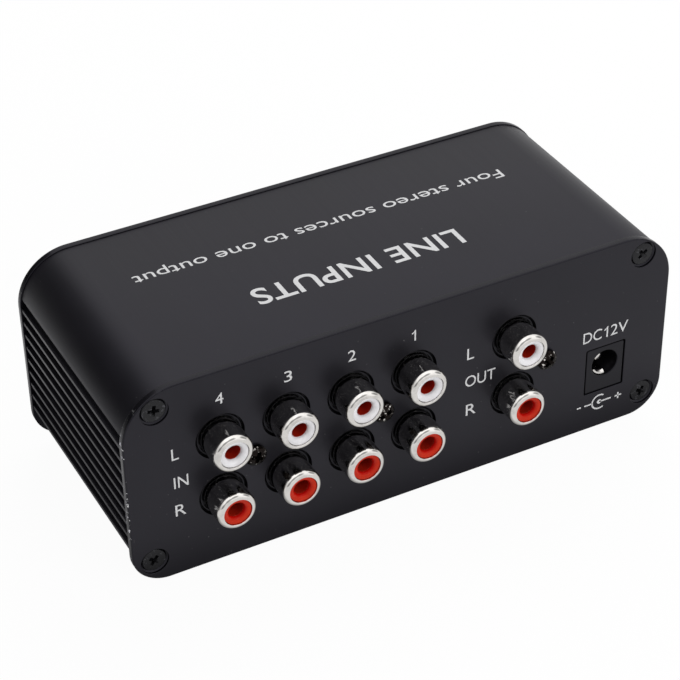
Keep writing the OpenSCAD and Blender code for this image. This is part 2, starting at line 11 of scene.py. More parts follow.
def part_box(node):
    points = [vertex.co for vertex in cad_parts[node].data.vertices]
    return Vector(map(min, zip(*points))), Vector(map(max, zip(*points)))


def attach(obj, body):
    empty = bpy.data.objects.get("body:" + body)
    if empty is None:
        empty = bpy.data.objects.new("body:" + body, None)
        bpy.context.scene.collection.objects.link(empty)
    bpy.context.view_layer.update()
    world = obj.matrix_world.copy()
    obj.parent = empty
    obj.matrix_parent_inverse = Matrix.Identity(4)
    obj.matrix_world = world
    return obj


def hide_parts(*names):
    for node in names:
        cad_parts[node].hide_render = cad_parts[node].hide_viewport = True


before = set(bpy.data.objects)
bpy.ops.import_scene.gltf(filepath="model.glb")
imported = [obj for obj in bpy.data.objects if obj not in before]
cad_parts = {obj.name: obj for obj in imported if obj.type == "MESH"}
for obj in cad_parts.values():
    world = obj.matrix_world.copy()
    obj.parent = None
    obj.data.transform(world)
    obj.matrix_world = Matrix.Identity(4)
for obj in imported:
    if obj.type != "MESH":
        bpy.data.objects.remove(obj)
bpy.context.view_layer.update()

bl_info = {
    "name": "Stereo source selector",
    "version": (1, 0, 0),
    "blender": (4, 5, 0),
    "location": "View3D > Sidebar > Selector",
    "description": "Dresses the packed source selector with its finishes, lettering and stage",
    "category": "Object",
}

# Meshes are made in millimetres in the frame's axes, and scaled to metres when a piece is finished
MM = 0.001
TINY = 1e-6
# How close corners have to be to become one, in a CAD mesh or print and in a finished piece
WELD, FINE_WELD = 0.0005, 0.00005
# Sides of large, middling and small round pieces
LARGE, MIDDLING, SMALL = 96, 64, 48
SMOOTH_ANGLE = math.radians(32)
# Flat strip beside a plate's eased edges, which keeps its faces evenly lit
BORDER = 0.04
# Ways into the case from behind and from the front
FROM_REAR = Vector((0, 1, 0))
FROM_FRONT = Vector((0, -1, 0))
UP = Vector((0, 0, 1))
COOL_SHEEN = (0.87, 0.85, 1, 1)
WHITE = (1, 1, 1, 1)
# Range over which soft noise turns from one shade to another
SOFT = (0.3, 0.7)
INPUTS = range(1, 5)
JACKS = [f"input_{i}_{side}" for i in INPUTS for side in ("left", "right")]
JACKS += ["output_left", "output_right"]
# Figures over the inputs, and how far each stands from its jacks' middle
INPUT_FIGURES = ((4, 0.2), (3, 0.6), (2, 0.3), (1, -0.1))
# Words on the rear panel: left and right end, and height above the panel's lower edge
PANEL_WORDS = (
    ("L", -51.4, -49.9, 28.2), ("IN", -51.3, -48.3, 21.3), ("R", -51.4, -49.2, 14.5),
    ("L", 12.9, 14.5, 28.9), ("OUT", 12.6, 19.6, 22.1), ("R", 12.9, 15.2, 14.9),
    ("DC", 40.6, 45.1, 23.0), ("2V", 47.3, 51.5, 23.0), ("1", 45.7, 46.6, 23.0))
# Lines on the top: left and right end, near and far edge from the rear panel's face, and weight
TOP_LINES = (
    ("Four stereo sources to one output", -42.7, 41.5, 33.5, 37.6, 0.0),
    ("LINE INPUTS", -24.6, 21.7, 15.6, 21.2, 0.013))


# Places in the frame


def box_mm(node):
    """Lowest and highest corner of a CAD node, in millimetres."""
    low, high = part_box(node)
    return low / MM, high / MM


def middle(node):
    """Middle of a CAD node's box, in millimetres."""
    low, high = box_mm(node)
    return (low + high) / 2


def face_centre(low, high):
    """Middle of a box in X and Z."""
    return ((low.x + high.x) / 2, (low.z + high.z) / 2)


REAR_LOW, REAR_HIGH = box_mm("rear_panel")
SHELL_LOW, SHELL_HIGH = box_mm("case_shell")
PANEL_T = REAR_HIGH.y - REAR_LOW.y
REAR_Y = REAR_LOW.y
FRONT_Y = box_mm("front_panel")[1].y


def welded(node):
    """A CAD node's mesh with its split corners joined, in millimetres."""
    mesh = bmesh.new()
    mesh.from_mesh(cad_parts[node].data)
    bmesh.ops.scale(mesh, vec=Vector((1, 1, 1)) / MM, verts=mesh.verts)
    bmesh.ops.remove_doubles(mesh, verts=mesh.verts, dist=WELD)
    return mesh


def islands(node):
    """Boxes of the separate solids in a CAD node, from left to right."""
    mesh = welded(node)
    left = set(mesh.verts)
    boxes = []
    while left:
        start = left.pop()
        group = [start]
        for vert in group:
            for edge in vert.link_edges:
                other = edge.other_vert(vert)
                if other in left:
                    left.remove(other)
                    group.append(other)
        low = Vector([min(v.co[k] for v in group) for k in range(3)])
        high = Vector([max(v.co[k] for v in group) for k in range(3)])
        boxes.append((low, high))
    mesh.free()
    return sorted(boxes, key=lambda b: (round(b[0].x, 2), b[0].z))


def section(node):
    """Outlines of a CAD node's rear end in X and Z, the outer one first, with the metal on their left."""
    mesh = welded(node)
    level = 0.001
    low = min(v.co.y for v in mesh.verts)
    ends = {f for f in mesh.faces if all(abs(v.co.y - low) < level for v in f.verts)}
    rims = [e for e in mesh.edges if sum(f in ends for f in e.link_faces) == 1]
    following = {}
    for edge in rims:
        for a, b in (edge.verts, reversed(edge.verts)):
            following.setdefault(a, []).append(b)
    loops = []
    while following:
        here = next(iter(following))
        loop = []
        while here in following:
            loop.append((here.co.x, here.co.z))
            ahead = [v for v in following.pop(here) if v in following]
            if not ahead:
                break
            here = ahead[0]
        loops.append(loop)
    mesh.free()
    loops.sort(key=lambda loop: -abs(area(loop)))
    return [turned(loop, k == 0) for k, loop in enumerate(loops)]


# Outlines in X and Z


def area(loop):
    """Signed area of an outline, positive when it runs anticlockwise."""
    pairs = zip(loop, loop[1:] + loop[:1])
    return sum(a[0] * b[1] - b[0] * a[1] for a, b in pairs) / 2


def turned(loop, anticlockwise):
    """The outline, run the way that is asked for."""
    return loop if (area(loop) > 0) == anticlockwise else loop[::-1]


def quarter(steps):
    """Angles of a quarter turn in even steps."""
    return [math.pi / 2 * k / steps for k in range(steps + 1)]


def arc(centre, radius, start, end, steps):
    """Points on an arc between two angles in degrees."""
    angles = [math.radians(start + (end - start) * k / steps) for k in range(steps + 1)]
    return [(centre[0] + radius * math.cos(a), centre[1] + radius * math.sin(a)) for a in angles]


def ring_outline(centre, radius, steps=72):
    """A round hole's outline, clockwise, so that the metal is on its left."""
    return arc(centre, radius, 360, 0, steps)[:-1]


def box_outline(low, high, upper, lower, steps):
    """An anticlockwise rectangle with one radius for its upper corners and one for its lower ones."""
    points = arc((high[0] - lower, low[1] + lower), lower, -90, 0, steps)
    points += arc((high[0] - upper, high[1] - upper), upper, 0, 90, steps)
    points += arc((low[0] + upper, high[1] - upper), upper, 90, 180, steps)
    points += arc((low[0] + lower, low[1] + lower), lower, 180, 270, steps)
    return points


def softened(loop, radius, steps=3, sharp=25):
    """The outline with its sharp corners rounded, by less than the radius where an edge is short."""
    most = 0.45
    points = []
    count = len(loop)
    for k in range(count):
        here = Vector(loop[k])
        before = Vector(loop[k - 1]) - here
        after = Vector(loop[(k + 1) % count]) - here
        short = before.length < TINY or after.length < TINY
        turn = 0 if short else math.pi - before.angle(after)
        if math.degrees(turn) < sharp:
            points.append(tuple(here))
            continue
        reach = min(radius * math.tan(turn / 2), before.length * most, after.length * most)
        first = here + before.normalized() * reach
        last = here + after.normalized() * reach
        for s in range(steps + 1):
            t = s / steps
            points.append(tuple((1 - t) ** 2 * first + 2 * t * (1 - t) * here + t ** 2 * last))
    return points


def shifted(loop, distance):
    """The outline moved into the metal on its left, without long spikes at its sharp corners."""
    least = 0.4
    count = len(loop)
    points = []
    for k in range(count):
        here = Vector(loop[k])
        back = (here - Vector(loop[k - 1])).normalized()
        ahead = (Vector(loop[(k + 1) % count]) - here).normalized()
        first = Vector((-back.y, back.x))
        second = Vector((-ahead.y, ahead.x))
        points.append(tuple(here + (first + second) * distance / max(least, 1 + first.dot(second))))
    return points


def eased_wall(thickness, near, far, steps=3):
    """Steps of a wall from face to face, as moves into the metal and depths, with both edges eased."""
    curve = [(1 - math.sin(a), 1 - math.cos(a)) for a in quarter(steps)]
    first = [(near + BORDER, 0)] + [(near * move, near * depth) for move, depth in curve]
    last = [(far * move, thickness - far * depth) for move, depth in reversed(curve)]
    return first + last + [(far + BORDER, thickness)]


# Solids


def bridge(mesh, rings):
    """Joins each closed ring of corners to the next one with four-sided faces."""
    for near, far in zip(rings, rings[1:]):
        for k in range(len(near)):
            mesh.faces.new((near[k - 1], near[k], far[k], far[k - 1]))


def plate(walls, y, inward):
    """A solid plate from walls of (outline, steps, blind); depths run inward from the face at y."""
    mesh = bmesh.new()
    faces = ([], [])
    for outline, steps, blind in walls:
        rings = []
        for move, depth in steps:
            loop = shifted(outline, move) if move else outline
            rings.append([mesh.verts.new((x, y + inward * depth, z)) for x, z in loop])
        bridge(mesh, rings)
        if blind:
            mesh.faces.new(rings[-1])
        ends = rings[:1] if blind else [rings[0], rings[-1]]
        for side, ring in zip(faces, ends):
            side += [mesh.edges.get((ring[k - 1], ring[k])) for k in range(len(ring))]
    for side in faces:
        bmesh.ops.triangle_fill(mesh, use_beauty=True, edges=side)
    bmesh.ops.recalc_face_normals(mesh, faces=mesh.faces)
    return mesh


def lathe(profile, origin, direction=FROM_REAR, segments=LARGE, flutes=None):
    """A body turned from a closed profile of (radius, way along the axis); flutes may change the radius."""
    mesh = bmesh.new()
    side = direction.orthogonal().normalized()
    across = direction.cross(side)
    rings = []
    for radius, along in profile:
        centre = origin + direction * along
        if radius < TINY:
            rings.append([mesh.verts.new(centre)])
            continue
        ring = []
        for k in range(segments):
            angle = 2 * math.pi * k / segments
            reach = flutes(radius, along, angle) if flutes else radius
            spoke = side * math.cos(angle) + across * math.sin(angle)
            ring.append(mesh.verts.new(centre + spoke * reach))
        rings.append(ring)
    for near, far in zip(rings, rings[1:] + rings[:1]):
        if len(near) == 1 and len(far) == 1:
            continue
        for k in range(segments):
            first = near if len(near) == 1 else [near[k - 1], near[k]]
            last = far if len(far) == 1 else [far[k], far[k - 1]]
            mesh.faces.new(first + last)
    bmesh.ops.recalc_face_normals(mesh, faces=mesh.faces)
    return mesh


def joined(*meshes):
    """One mesh with all of these in it."""
    whole = bmesh.new()
    for mesh in meshes:
        store = bpy.data.meshes.new("store")
        mesh.to_mesh(store)
        whole.from_mesh(store)
        bpy.data.meshes.remove(store)
        mesh.free()
    return whole


def placed(mesh, matrix):
    """A copy of the mesh, moved by the matrix."""
    moved = mesh.copy()
    bmesh.ops.transform(moved, matrix=matrix, verts=moved.verts)
    return moved


def carved(mesh, cutter):
    """The mesh with the cutter taken out of it."""
    made = []
    for name, part in (("whole", mesh), ("cutter", cutter)):
        store = bpy.data.meshes.new(name)
        part.to_mesh(store)
        part.free()
        made.append(bpy.data.objects.new(name, store))
        bpy.context.scene.collection.objects.link(made[-1])
    whole, tool = made
    cut = whole.modifiers.new("cut", "BOOLEAN")
    cut.operation = "DIFFERENCE"
    cut.solver = "EXACT"
    cut.object = tool
    result = bmesh.new()
    result.from_object(whole, bpy.context.evaluated_depsgraph_get())
    for o in made:
        store = o.data
        bpy.data.objects.remove(o)
        bpy.data.meshes.remove(store)
    return result


def cross_cutter(length):
    """The two wings of a cross-head driver's tip, pointing along Z from the head's face."""
    proud, depth = 0.5, 1.25
    wide, narrow, tip = length * 0.32, length * 0.18, length * 0.16
    levels = ((-proud, length / 2, wide / 2), (0, length / 2, wide / 2), (depth, tip, narrow / 2))
    wings = []
    for turn in (0, math.pi / 2):
        wing = bmesh.new()
        rings = []
        for z, reach, half in levels:
            corners = ((-reach, -half), (reach, -half), (reach, half), (-reach, half))
            rings.append([wing.verts.new((x, y, z)) for x, y in corners])
        bridge(wing, rings)
        wing.faces.new(rings[0])
        wing.faces.new(rings[-1])
        bmesh.ops.recalc_face_normals(wing, faces=wing.faces)
        bmesh.ops.rotate(wing, matrix=Matrix.Rotation(turn, 3, "Z"), verts=wing.verts)
        wings.append(wing)
    return wings


def screw(profile, face, recess):
    """One cross-head screw along Z, from its turned profile; face is where the head's flat begins."""
    body = lathe(profile, Vector(), UP, MIDDLING)
    for wing in cross_cutter(recess):
        bmesh.ops.translate(wing, vec=(0, 0, face), verts=wing.verts)
        body = carved(body, wing)
    return body


# Print


def lettering(text, low, high, y, weight=0.0):
    """Flat letters that fill a box in X and Z on the face at y; weight thickens their lines."""
    spread = 3
    curve = bpy.data.curves.new("letters", "FONT")
    curve.body = text
    curve.offset = weight
    curve.space_character = 1 + spread * weight
    curve.resolution_u = 8
    holder = bpy.data.objects.new("letters", curve)
    bpy.context.scene.collection.objects.link(holder)
    store = bpy.data.meshes.new_from_object(holder.evaluated_get(bpy.context.evaluated_depsgraph_get()))
    flat = bmesh.new()
    flat.from_mesh(store)
    bpy.data.meshes.remove(store)
    bpy.data.objects.remove(holder)
    bpy.data.curves.remove(curve)
    xs = [v.co.x for v in flat.verts]
    ys = [v.co.y for v in flat.verts]
    left, bottom = min(xs), min(ys)
    wide = (high[0] - low[0]) / (max(xs) - left)
    tall = (high[1] - low[1]) / (max(ys) - bottom)
    for v in flat.verts:
        v.co = Vector((low[0] + (v.co.x - left) * wide, y, low[1] + (v.co.y - bottom) * tall))
    return flat


def figure_one(low, high, y):
    """A figure one with its flag, in a box in X and Z."""
    outline = ((1, 0), (1, 1), (0.76, 1), (0.6, 0.9), (0.35, 0.81), (0, 0.76), (0, 0.63),
               (0.36, 0.7), (0.64, 0.79), (0.64, 0))
    flat = bmesh.new()
    corners = [(low[0] + (high[0] - low[0]) * u, y, low[1] + (high[1] - low[1]) * v) for u, v in outline]
    flat.faces.new([flat.verts.new(corner) for corner in corners])
    return flat


def stroke(points, width, y):
    """A flat line of one width along points in X and Z."""
    mesh = bmesh.new()
    rows = []
    count = len(points)
    for k in range(count):
        here = Vector(points[k])
        along = (Vector(points[min(k + 1, count - 1)]) - Vector(points[max(k - 1, 0)])).normalized()
        across = Vector((-along.y, along.x)) * width / 2
        rows.append([mesh.verts.new((p.x, y, p.y)) for p in (here - across, here + across)])
    for near, far in zip(rows, rows[1:]):
        mesh.faces.new((near[0], far[0], far[1], near[1]))
    return mesh


def inked(flat, thickness, outward):
    """Flat print made into a thin solid layer, with its faces in the same order each run."""
    bmesh.ops.remove_doubles(flat, verts=flat.verts, dist=WELD)
    raised = bmesh.ops.extrude_face_region(flat, geom=list(flat.faces), use_keep_orig=True)
    lifted = [g for g in raised["geom"] if isinstance(g, bmesh.types.BMVert)]
    bmesh.ops.translate(flat, vec=outward * thickness, verts=lifted)
    bmesh.ops.recalc_face_normals(flat, faces=flat.faces)
    ordered = sorted(flat.faces, key=lambda face: tuple(face.calc_center_median()))
    rank = {face: k for k, face in enumerate(ordered)}
    flat.faces.sort(key=rank.get)
    return flat


# Pieces on their bodies


def piece(name, mesh, materials, body="case", replaces=(), pick=None):
    """Finishes a mesh as a piece that rides on a body; pick(face) chooses among several materials."""
    bmesh.ops.remove_doubles(mesh, verts=mesh.verts, dist=FINE_WELD)
    materials = materials if isinstance(materials, (list, tuple)) else [materials]
    if pick:
        mesh.normal_update()
        for face in mesh.faces:
            face.material_index = pick(face)
    bmesh.ops.scale(mesh, vec=(MM, MM, MM), verts=mesh.verts)
    data = bpy.data.meshes.new(name)
    mesh.to_mesh(data)
    mesh.free()
    for material in materials:
        data.materials.append(material)
    data.polygons.foreach_set("use_smooth", [True] * len(data.polygons))
    data.set_sharp_from_angle(angle=SMOOTH_ANGLE)
    made = bpy.data.objects.new(name, data)
    bpy.context.scene.collection.objects.link(made)
    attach(made, body)
    if replaces:
        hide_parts(*replaces)


def dress(material, *nodes):
    """Gives CAD nodes that stay in view their finish."""
    for node in nodes:
        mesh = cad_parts[node].data
        mesh.materials.clear()
        mesh.materials.append(material)


def set_screws(name, node, one, outer, inward, turns, material):
    """Copies of one screw at each solid of a CAD node, each with its own turn of the cross."""
    along = Euler((-math.pi / 2 * inward, 0, 0)).to_matrix().to_4x4()
    copies = []
    for (low, high), turn in zip(islands(node), turns):
        x, z = face_centre(low, high)
        spin = Matrix.Rotation(math.radians(turn), 4, "Z")
        copies.append(placed(one, Matrix.Translation((x, outer, z)) @ along @ spin))
    one.free()
    piece(name, joined(*copies), material, replaces=[node])


# Finishes


class Field:
    """A value that varies over a surface, with arithmetic that adds the nodes."""

    def __init__(self, finish, socket):
        self.finish = finish
        self.socket = socket

    def maths(self, operation, first, second):
        """Adds one step of arithmetic."""
        return self.finish.node("ShaderNodeMath", {"operation": operation}, {0: first, 1: second})

    def __add__(self, other):
        return self.maths("ADD", self, other)

    def __radd__(self, other):
        return self.maths("ADD", other, self)

    def __sub__(self, other):
        return self.maths("SUBTRACT", self, other)

    def __rsub__(self, other):
        return self.maths("SUBTRACT", other, self)

    def __mul__(self, other):
        return self.maths("MULTIPLY", self, other)

    def __rmul__(self, other):
        return self.maths("MULTIPLY", other, self)

    def swing(self, amount, rest=0.5):
        """The value's ups and downs about a resting level, made larger or smaller."""
        return (self - rest) * amount

    def between(self, low, high, first=0.0, last=1.0):
        """The value spread from one range to another, held at its ends."""
        settings = {"interpolation_type": "SMOOTHSTEP"}
        inputs = {0: self, 1: low, 2: high, 3: first, 4: last}
        return self.finish.node("ShaderNodeMapRange", settings, inputs)


class Finish:
    """The nodes of a material or of the world while they are put together."""

    def __init__(self, owner):
        owner.use_nodes = True
        self.owner = owner
        self.tree = owner.node_tree
        self.tree.nodes.clear()

    @classmethod
    def named(cls, name):
        """A new material, with places in millimetres in the object's own axes."""
        f = cls(bpy.data.materials.new(name))
        metres = f.node("ShaderNodeTexCoord", output="Object")
        f.place = f.node("ShaderNodeVectorMath", {"operation": "SCALE"}, {0: metres, "Scale": 1 / MM})
        return f

    def node(self, kind, settings=None, inputs=None, output=0):
        """Adds a node, sets it and links it, and gives back one of its outputs."""
        made = self.tree.nodes.new(kind)
        for name, value in (settings or {}).items():
            setattr(made, name, value)
        for key, value in (inputs or {}).items():
            if isinstance(value, Field):
                self.tree.links.new(value.socket, made.inputs[key])
            else:
                made.inputs[key].default_value = value
        return Field(self, made.outputs[output]) if made.outputs else None

    def vector(self, operation, first, second=(0, 0, 0), output="Vector"):
        """One step of vector maths; a length or a dot product comes out as its Value."""
        return self.node("ShaderNodeVectorMath", {"operation": operation}, {0: first, 1: second}, output)

    def along(self, vector, name):
        """One coordinate of a vector."""
        return self.node("ShaderNodeSeparateXYZ", inputs={0: vector}, output=name)

    def axis(self, name):
        """One coordinate of the place, in millimetres."""
        return self.along(self.place, name)

    def noise(self, scale, detail=2.0, roughness=0.5, stretch=(1, 1, 1)):
        """Soft noise with so many features to the millimetre."""
        place = self.vector("MULTIPLY", self.place, stretch)
        inputs = {"Vector": place, "Scale": scale, "Detail": detail, "Roughness": roughness}
        return self.node("ShaderNodeTexNoise", inputs=inputs)

    def mix(self, factor, first, second):
        """One colour shading into another."""
        settings = {"data_type": "RGBA"}
        return self.node("ShaderNodeMix", settings, {0: factor, 6: first, 7: second}, output=2)

    def shades(self, factor, colour, first, last):
        """One colour shading from a lighter or darker form of itself to another."""
        return self.mix(factor, rgba(colour, first), rgba(colour, last))

    def bump(self, height, depth, strength):
        """A surface normal from a height, with its depth in millimetres."""
        inputs = {"Strength": strength, "Distance": depth * MM, "Height": height}
        return self.node("ShaderNodeBump", inputs=inputs)

    def surface(self, **inputs):
        """Ends the material with a principled surface."""
        named = {}
        for key, value in inputs.items():
            named[key.replace("_", " ").title().replace("Ior", "IOR")] = value
        shader = self.node("ShaderNodeBsdfPrincipled", inputs=named)
        self.node("ShaderNodeOutputMaterial", inputs={"Surface": shader})
        return self.owner


def rgba(colour, factor=1.0):
    """A colour from a property with full opacity, made lighter or darker."""
    return (colour[0] * factor, colour[1] * factor, colour[2] * factor, 1.0)


def anodised(name, colour, roughness, specular, streak):
    """Satin black anodising: fine blasted grain, drawing streaks, faint handling marks and dust."""
    f = Finish.named(name)
    grey = (0.2, 0.2, 0.2, 1)
    clouds = f.noise(0.06, detail=3)
    streaks = f.noise(1.0, roughness=0.6, stretch=streak)
    grain = f.noise(7.0, roughness=0.6)
    dust = f.noise(1.7, detail=1).between(0.785, 0.81) * 0.35
    tone = f.shades(clouds.between(*SOFT), colour, 0.85, 1.15)
    tone = f.mix(dust, tone, grey)
    rough = roughness + clouds.swing(0.08) + streaks.swing(0.1)
    normal = f.bump(grain + streaks * 0.4, depth=0.0015, strength=0.6)
    return f.surface(base_color=tone, roughness=rough, normal=normal,
                     specular_ior_level=specular, specular_tint=COOL_SHEEN)


def worn_rim(name, colour, metal, chipped):
    """Anodised edge of a panel, polished by handling; chipped says how far its left end is bare."""
    f = Finish.named(name)
    rubbed = f.noise(0.35, detail=4, roughness=0.65)
    chips = f.noise(0.9, detail=3, roughness=0.7).between(0.6, 0.64) * chipped
    chips = chips * f.axis("X").between(REAR_LOW.x + 4, REAR_LOW.x + 1)
    tone = f.shades(rubbed.between(0.35, 0.75), colour, 0.8, 1.3)
    tone = f.mix(chips, tone, rgba(metal))
    rough = 0.22 + rubbed.swing(0.12)
    normal = f.bump(f.noise(4.0), depth=0.006, strength=0.5)
    return f.surface(base_color=tone, roughness=rough, metallic=chips, normal=normal,
                     specular_ior_level=0.29, specular_tint=COOL_SHEEN)


def nickel_plate(name, colour, roughness, dust=0.0):
    """Bright nickel with turning marks, a little tarnish and, where asked for, specks of dust."""
    f = Finish.named(name)
    tarnish = f.noise(0.5, detail=3, roughness=0.6)
    lines = f.noise(1.0, stretch=(0.4, 9.0, 0.4))
    tone = f.shades(tarnish.between(0.4, 0.75), colour, 1.0, 0.82)
    rough = roughness + tarnish.swing(0.08, rest=0.4) + lines.swing(0.06)
    normal = f.bump(lines, depth=0.0006, strength=0.3)
    metallic = 1.0
    if dust:
        metallic = 1 - f.noise(3.0, roughness=0.6).between(0.58, 0.68) * dust
    return f.surface(base_color=tone, roughness=rough, metallic=metallic, normal=normal)


def moulded(name, colour, roughness, texture=0.004, specular=0.5, sheen=WHITE, painted_shade=None, face=0.0):
    """Moulded plastic with a fine texture and uneven colour, which may take painted shade that darkens it
    inward from a face in Y.
    """
    f = Finish.named(name)
    clouds = f.noise(0.4, detail=3)
    grain = f.noise(9.0)
    tone = f.shades(clouds.between(*SOFT), colour, 0.92, 1.06)
    # Painted shade: the colour darkens inward from the face, standing in for shade in a recess
    if painted_shade:
        tone = f.mix((f.axis("Y") - face).between(0.05, 0.5), tone, rgba(painted_shade))
    rough = roughness + clouds.swing(0.12)
    normal = f.bump(grain, texture, strength=0.6)
    return f.surface(base_color=tone, roughness=rough, normal=normal,
                     specular_ior_level=specular, specular_tint=sheen)


def rubbed_plating(name, colour, roughness, metallic, bright=None):
    """Plating of a screw or contact with an uneven gloss, which may carry painted glints: small bright
    patches in its colour.
    """
    f = Finish.named(name)
    rubbed = f.noise(1.4, detail=3, roughness=0.6)
    tone = rgba(colour)
    # Painted glints: where the noise peaks, the colour turns to the bright colour, which stands in for
    # highlights
    if bright:
        tone = f.mix(rubbed.between(0.6, 0.66), tone, rgba(bright))
    rough = roughness + rubbed.swing(0.2)
    normal = f.bump(f.noise(6.0), depth=0.004, strength=0.5)
    return f.surface(base_color=tone, roughness=rough, metallic=metallic, normal=normal)


def screen_ink(name, colour):
    """Screen-printed ink with a slightly broken surface."""
    f = Finish.named(name)
    speckle = f.noise(5.0)
    tone = f.shades(speckle.between(*SOFT), colour, 0.9, 1.0)
    normal = f.bump(speckle, depth=0.004, strength=0.4)
    return f.surface(base_color=tone, roughness=0.5 + speckle.swing(0.2), normal=normal)


def rubber(name, colour):
    """Matt black rubber."""
    f = Finish.named(name)
    grain = f.noise(3.0, detail=4, roughness=0.6)
    tone = f.shades(grain, colour, 0.8, 1.3)
    normal = f.bump(grain, depth=0.02, strength=0.5)
    return f.surface(base_color=tone, roughness=0.8 + grain.swing(0.1), normal=normal)


def clear_lens(name, colour, roughness):
    """Tinted clear plastic of a lamp or window."""
    f = Finish.named(name)
    haze = f.noise(0.8)
    tone = f.shades(haze.between(*SOFT), colour, 0.9, 1.0)
    return f.surface(base_color=tone, roughness=roughness + haze.swing(0.04), coat_weight=0.6)


def circuit_board(name, colour):
    """Green solder mask with tracks under it."""
    f = Finish.named(name)
    tracks = f.node("ShaderNodeTexBrick", {"offset": 0.5}, {"Vector": f.place, "Scale": 0.35}, output=1)
    fibre = f.noise(2.0, detail=3)
    tone = f.shades(tracks, colour, 1.4, 1.0)
    normal = f.bump(tracks + fibre * 0.2, depth=0.02, strength=0.4)
    return f.surface(base_color=tone, roughness=0.35 + fibre.swing(0.1), normal=normal)


def turned_metal(name, colour, centre, roughness):
    """Black anodised metal with the fine rings that a lathe leaves around the knob's axis."""
    f = Finish.named(name)
    offset = f.vector("SUBTRACT", f.place, centre)
    flat = f.vector("MULTIPLY", offset, (1, 0, 1))
    radius = f.vector("LENGTH", flat, output="Value")
    inputs = {"W": radius, "Scale": 9.0, "Detail": 3.0}
    rings = f.node("ShaderNodeTexNoise", {"noise_dimensions": "1D"}, inputs)
    clouds = f.noise(0.2, detail=3)
    tone = f.shades(rings, colour, 0.8, 1.3)
    rough = roughness + rings.swing(0.15) + clouds.swing(0.06)
    normal = f.bump(rings, depth=0.006, strength=0.7)
    return f.surface(base_color=tone, roughness=rough, normal=normal, specular_ior_level=0.5)


# Settings


def colour_of(name, description, default):
    """A colour that a user may change."""
    return FloatVectorProperty(
        name=name, description=description, subtype="COLOR", default=default, min=0, max=1)


def length_of(name, description, default, low, high):
    """A length that a user may change, with its limits, given in millimetres."""
    return FloatProperty(
        name=name, description=description, unit="LENGTH",
        default=default * MM, min=low * MM, max=high * MM)


def angle_of(name, description, degrees):
    """An angle that a user may change, given in degrees."""
    return FloatProperty(
        name=name, description=description, subtype="ANGLE", default=math.radians(degrees))


def power_of(name, description, watts):
    """A lamp's power that a user may change."""
    return FloatProperty(
        name=name, description=description, unit="POWER", default=watts, min=0, max=100)


class CaseSettings(bpy.types.PropertyGroup):
    """Sizes and colours of the case."""

    shell_colour: colour_of("Shell colour", "Anodised finish of the extrusion", (0.0055, 0.0050, 0.0070))
    panel_colour: colour_of("Panel colour", "Anodised finish of the end panels", (0.0050, 0.0046, 0.0064))
    bare_colour: colour_of("Bare metal", "Aluminium where the finish is chipped", (0.75, 0.75, 0.76))
    screw_colour: colour_of("Screw colour", "Black finish of the panel screws", (0.016, 0.016, 0.018))
    # Painted glints: the lighter colour of small patches on the black screws, standing in for highlights
    rubbed_colour: colour_of("Rubbed screws", "Panel screws where they are rubbed", (0.064, 0.064, 0.072))
    rubber_colour: colour_of("Foot colour", "Rubber of the feet", (0.016, 0.016, 0.016))
    upper_radius: length_of("Upper corner", "Radius of the panels' upper corners", 11.5, 8, 13)
    lower_radius: length_of("Lower corner", "Radius of the panels' lower corners", 7.75, 6, 9)
    edge_easing: length_of("Edge easing", "Rounding of the shell's edges", 0.12, 0.02, 0.3)
    rim_easing: length_of("Rim easing", "Rounding of the panels' outer edges", 0.35, 0.02, 0.6)
    flat_recess: length_of("Panel screws' cross", "Length of the cross in a countersunk head", 2.4, 2, 3.4)
    pan_recess: length_of("Block screws' cross", "Length of the cross in a pan head", 2.9, 2, 3.4)


class JackSettings(bpy.types.PropertyGroup):
    """Sizes and colours of the jacks and the power inlet."""

    nickel_colour: colour_of("Nickel", "Plating of the barrels", (0.81, 0.785, 0.755))
    # Painted shade: a darker copy of the nickel on the barrel behind the lip, for the dark surroundings that
    # this part mirrors
    wall_colour: colour_of("Barrel wall", "Duller plating behind the lip", (0.45, 0.44, 0.43))
    left_colour: colour_of("Left insulator", "Plastic of the left channel", (0.83, 0.82, 0.84))
    right_colour: colour_of("Right insulator", "Plastic of the right channel", (0.54, 0.028, 0.010))
    # Painted shade: the darker red that the right insulators turn to inward from their face, for the shade
    # in their recess
    deep_colour: colour_of("Right recess", "Right channel's plastic in the recess", (0.50, 0.006, 0.003))
    contact_colour: colour_of("Contact", "Metal at the bottom of the sockets", (0.46, 0.018, 0.005))
    plastic_colour: colour_of("Black plastic", "Jack blocks and power inlet", (0.0045, 0.0044, 0.0052))
    bronze_colour: colour_of("Block screws", "Plating of the pan-head screws", (0.012, 0.009, 0.008))
    # Painted glints: the near-white colour of small patches on the pan-head screws, standing in for
    # highlights
    glint_colour: colour_of("Block screws' glints", "Pan-head screws where rubbed", (0.80, 0.76, 0.72))
    hole_diameter: length_of("Panel hole", "Diameter of the panel holes around the jacks", 10.2, 9, 11)
    lip_inner: length_of("Lip opening", "Inner diameter of the rolled lip", 6.0, 5, 7)
    inlet_gap: length_of("Inlet gap", "Gap between the inlet and the panel's cut-out", 0.3, 0.05, 0.5)
    inlet_hole: length_of("Plug hole", "Diameter of the power inlet's hole", 6.2, 5.6, 7)


class PrintSettings(bpy.types.PropertyGroup):
    """Sizes and colour of the lettering."""

    ink_colour: colour_of("Ink", "Colour of the screen print", (0.72, 0.72, 0.73))
    ink_thickness: length_of("Ink thickness", "How far the print stands proud", 0.02, 0.005, 0.1)
    cap_height: length_of("Cap height", "Height of the panel's capitals and figures", 2.7, 2, 5)
    line_width: length_of("Line width", "Line width of the polarity sign", 0.35, 0.1, 1)


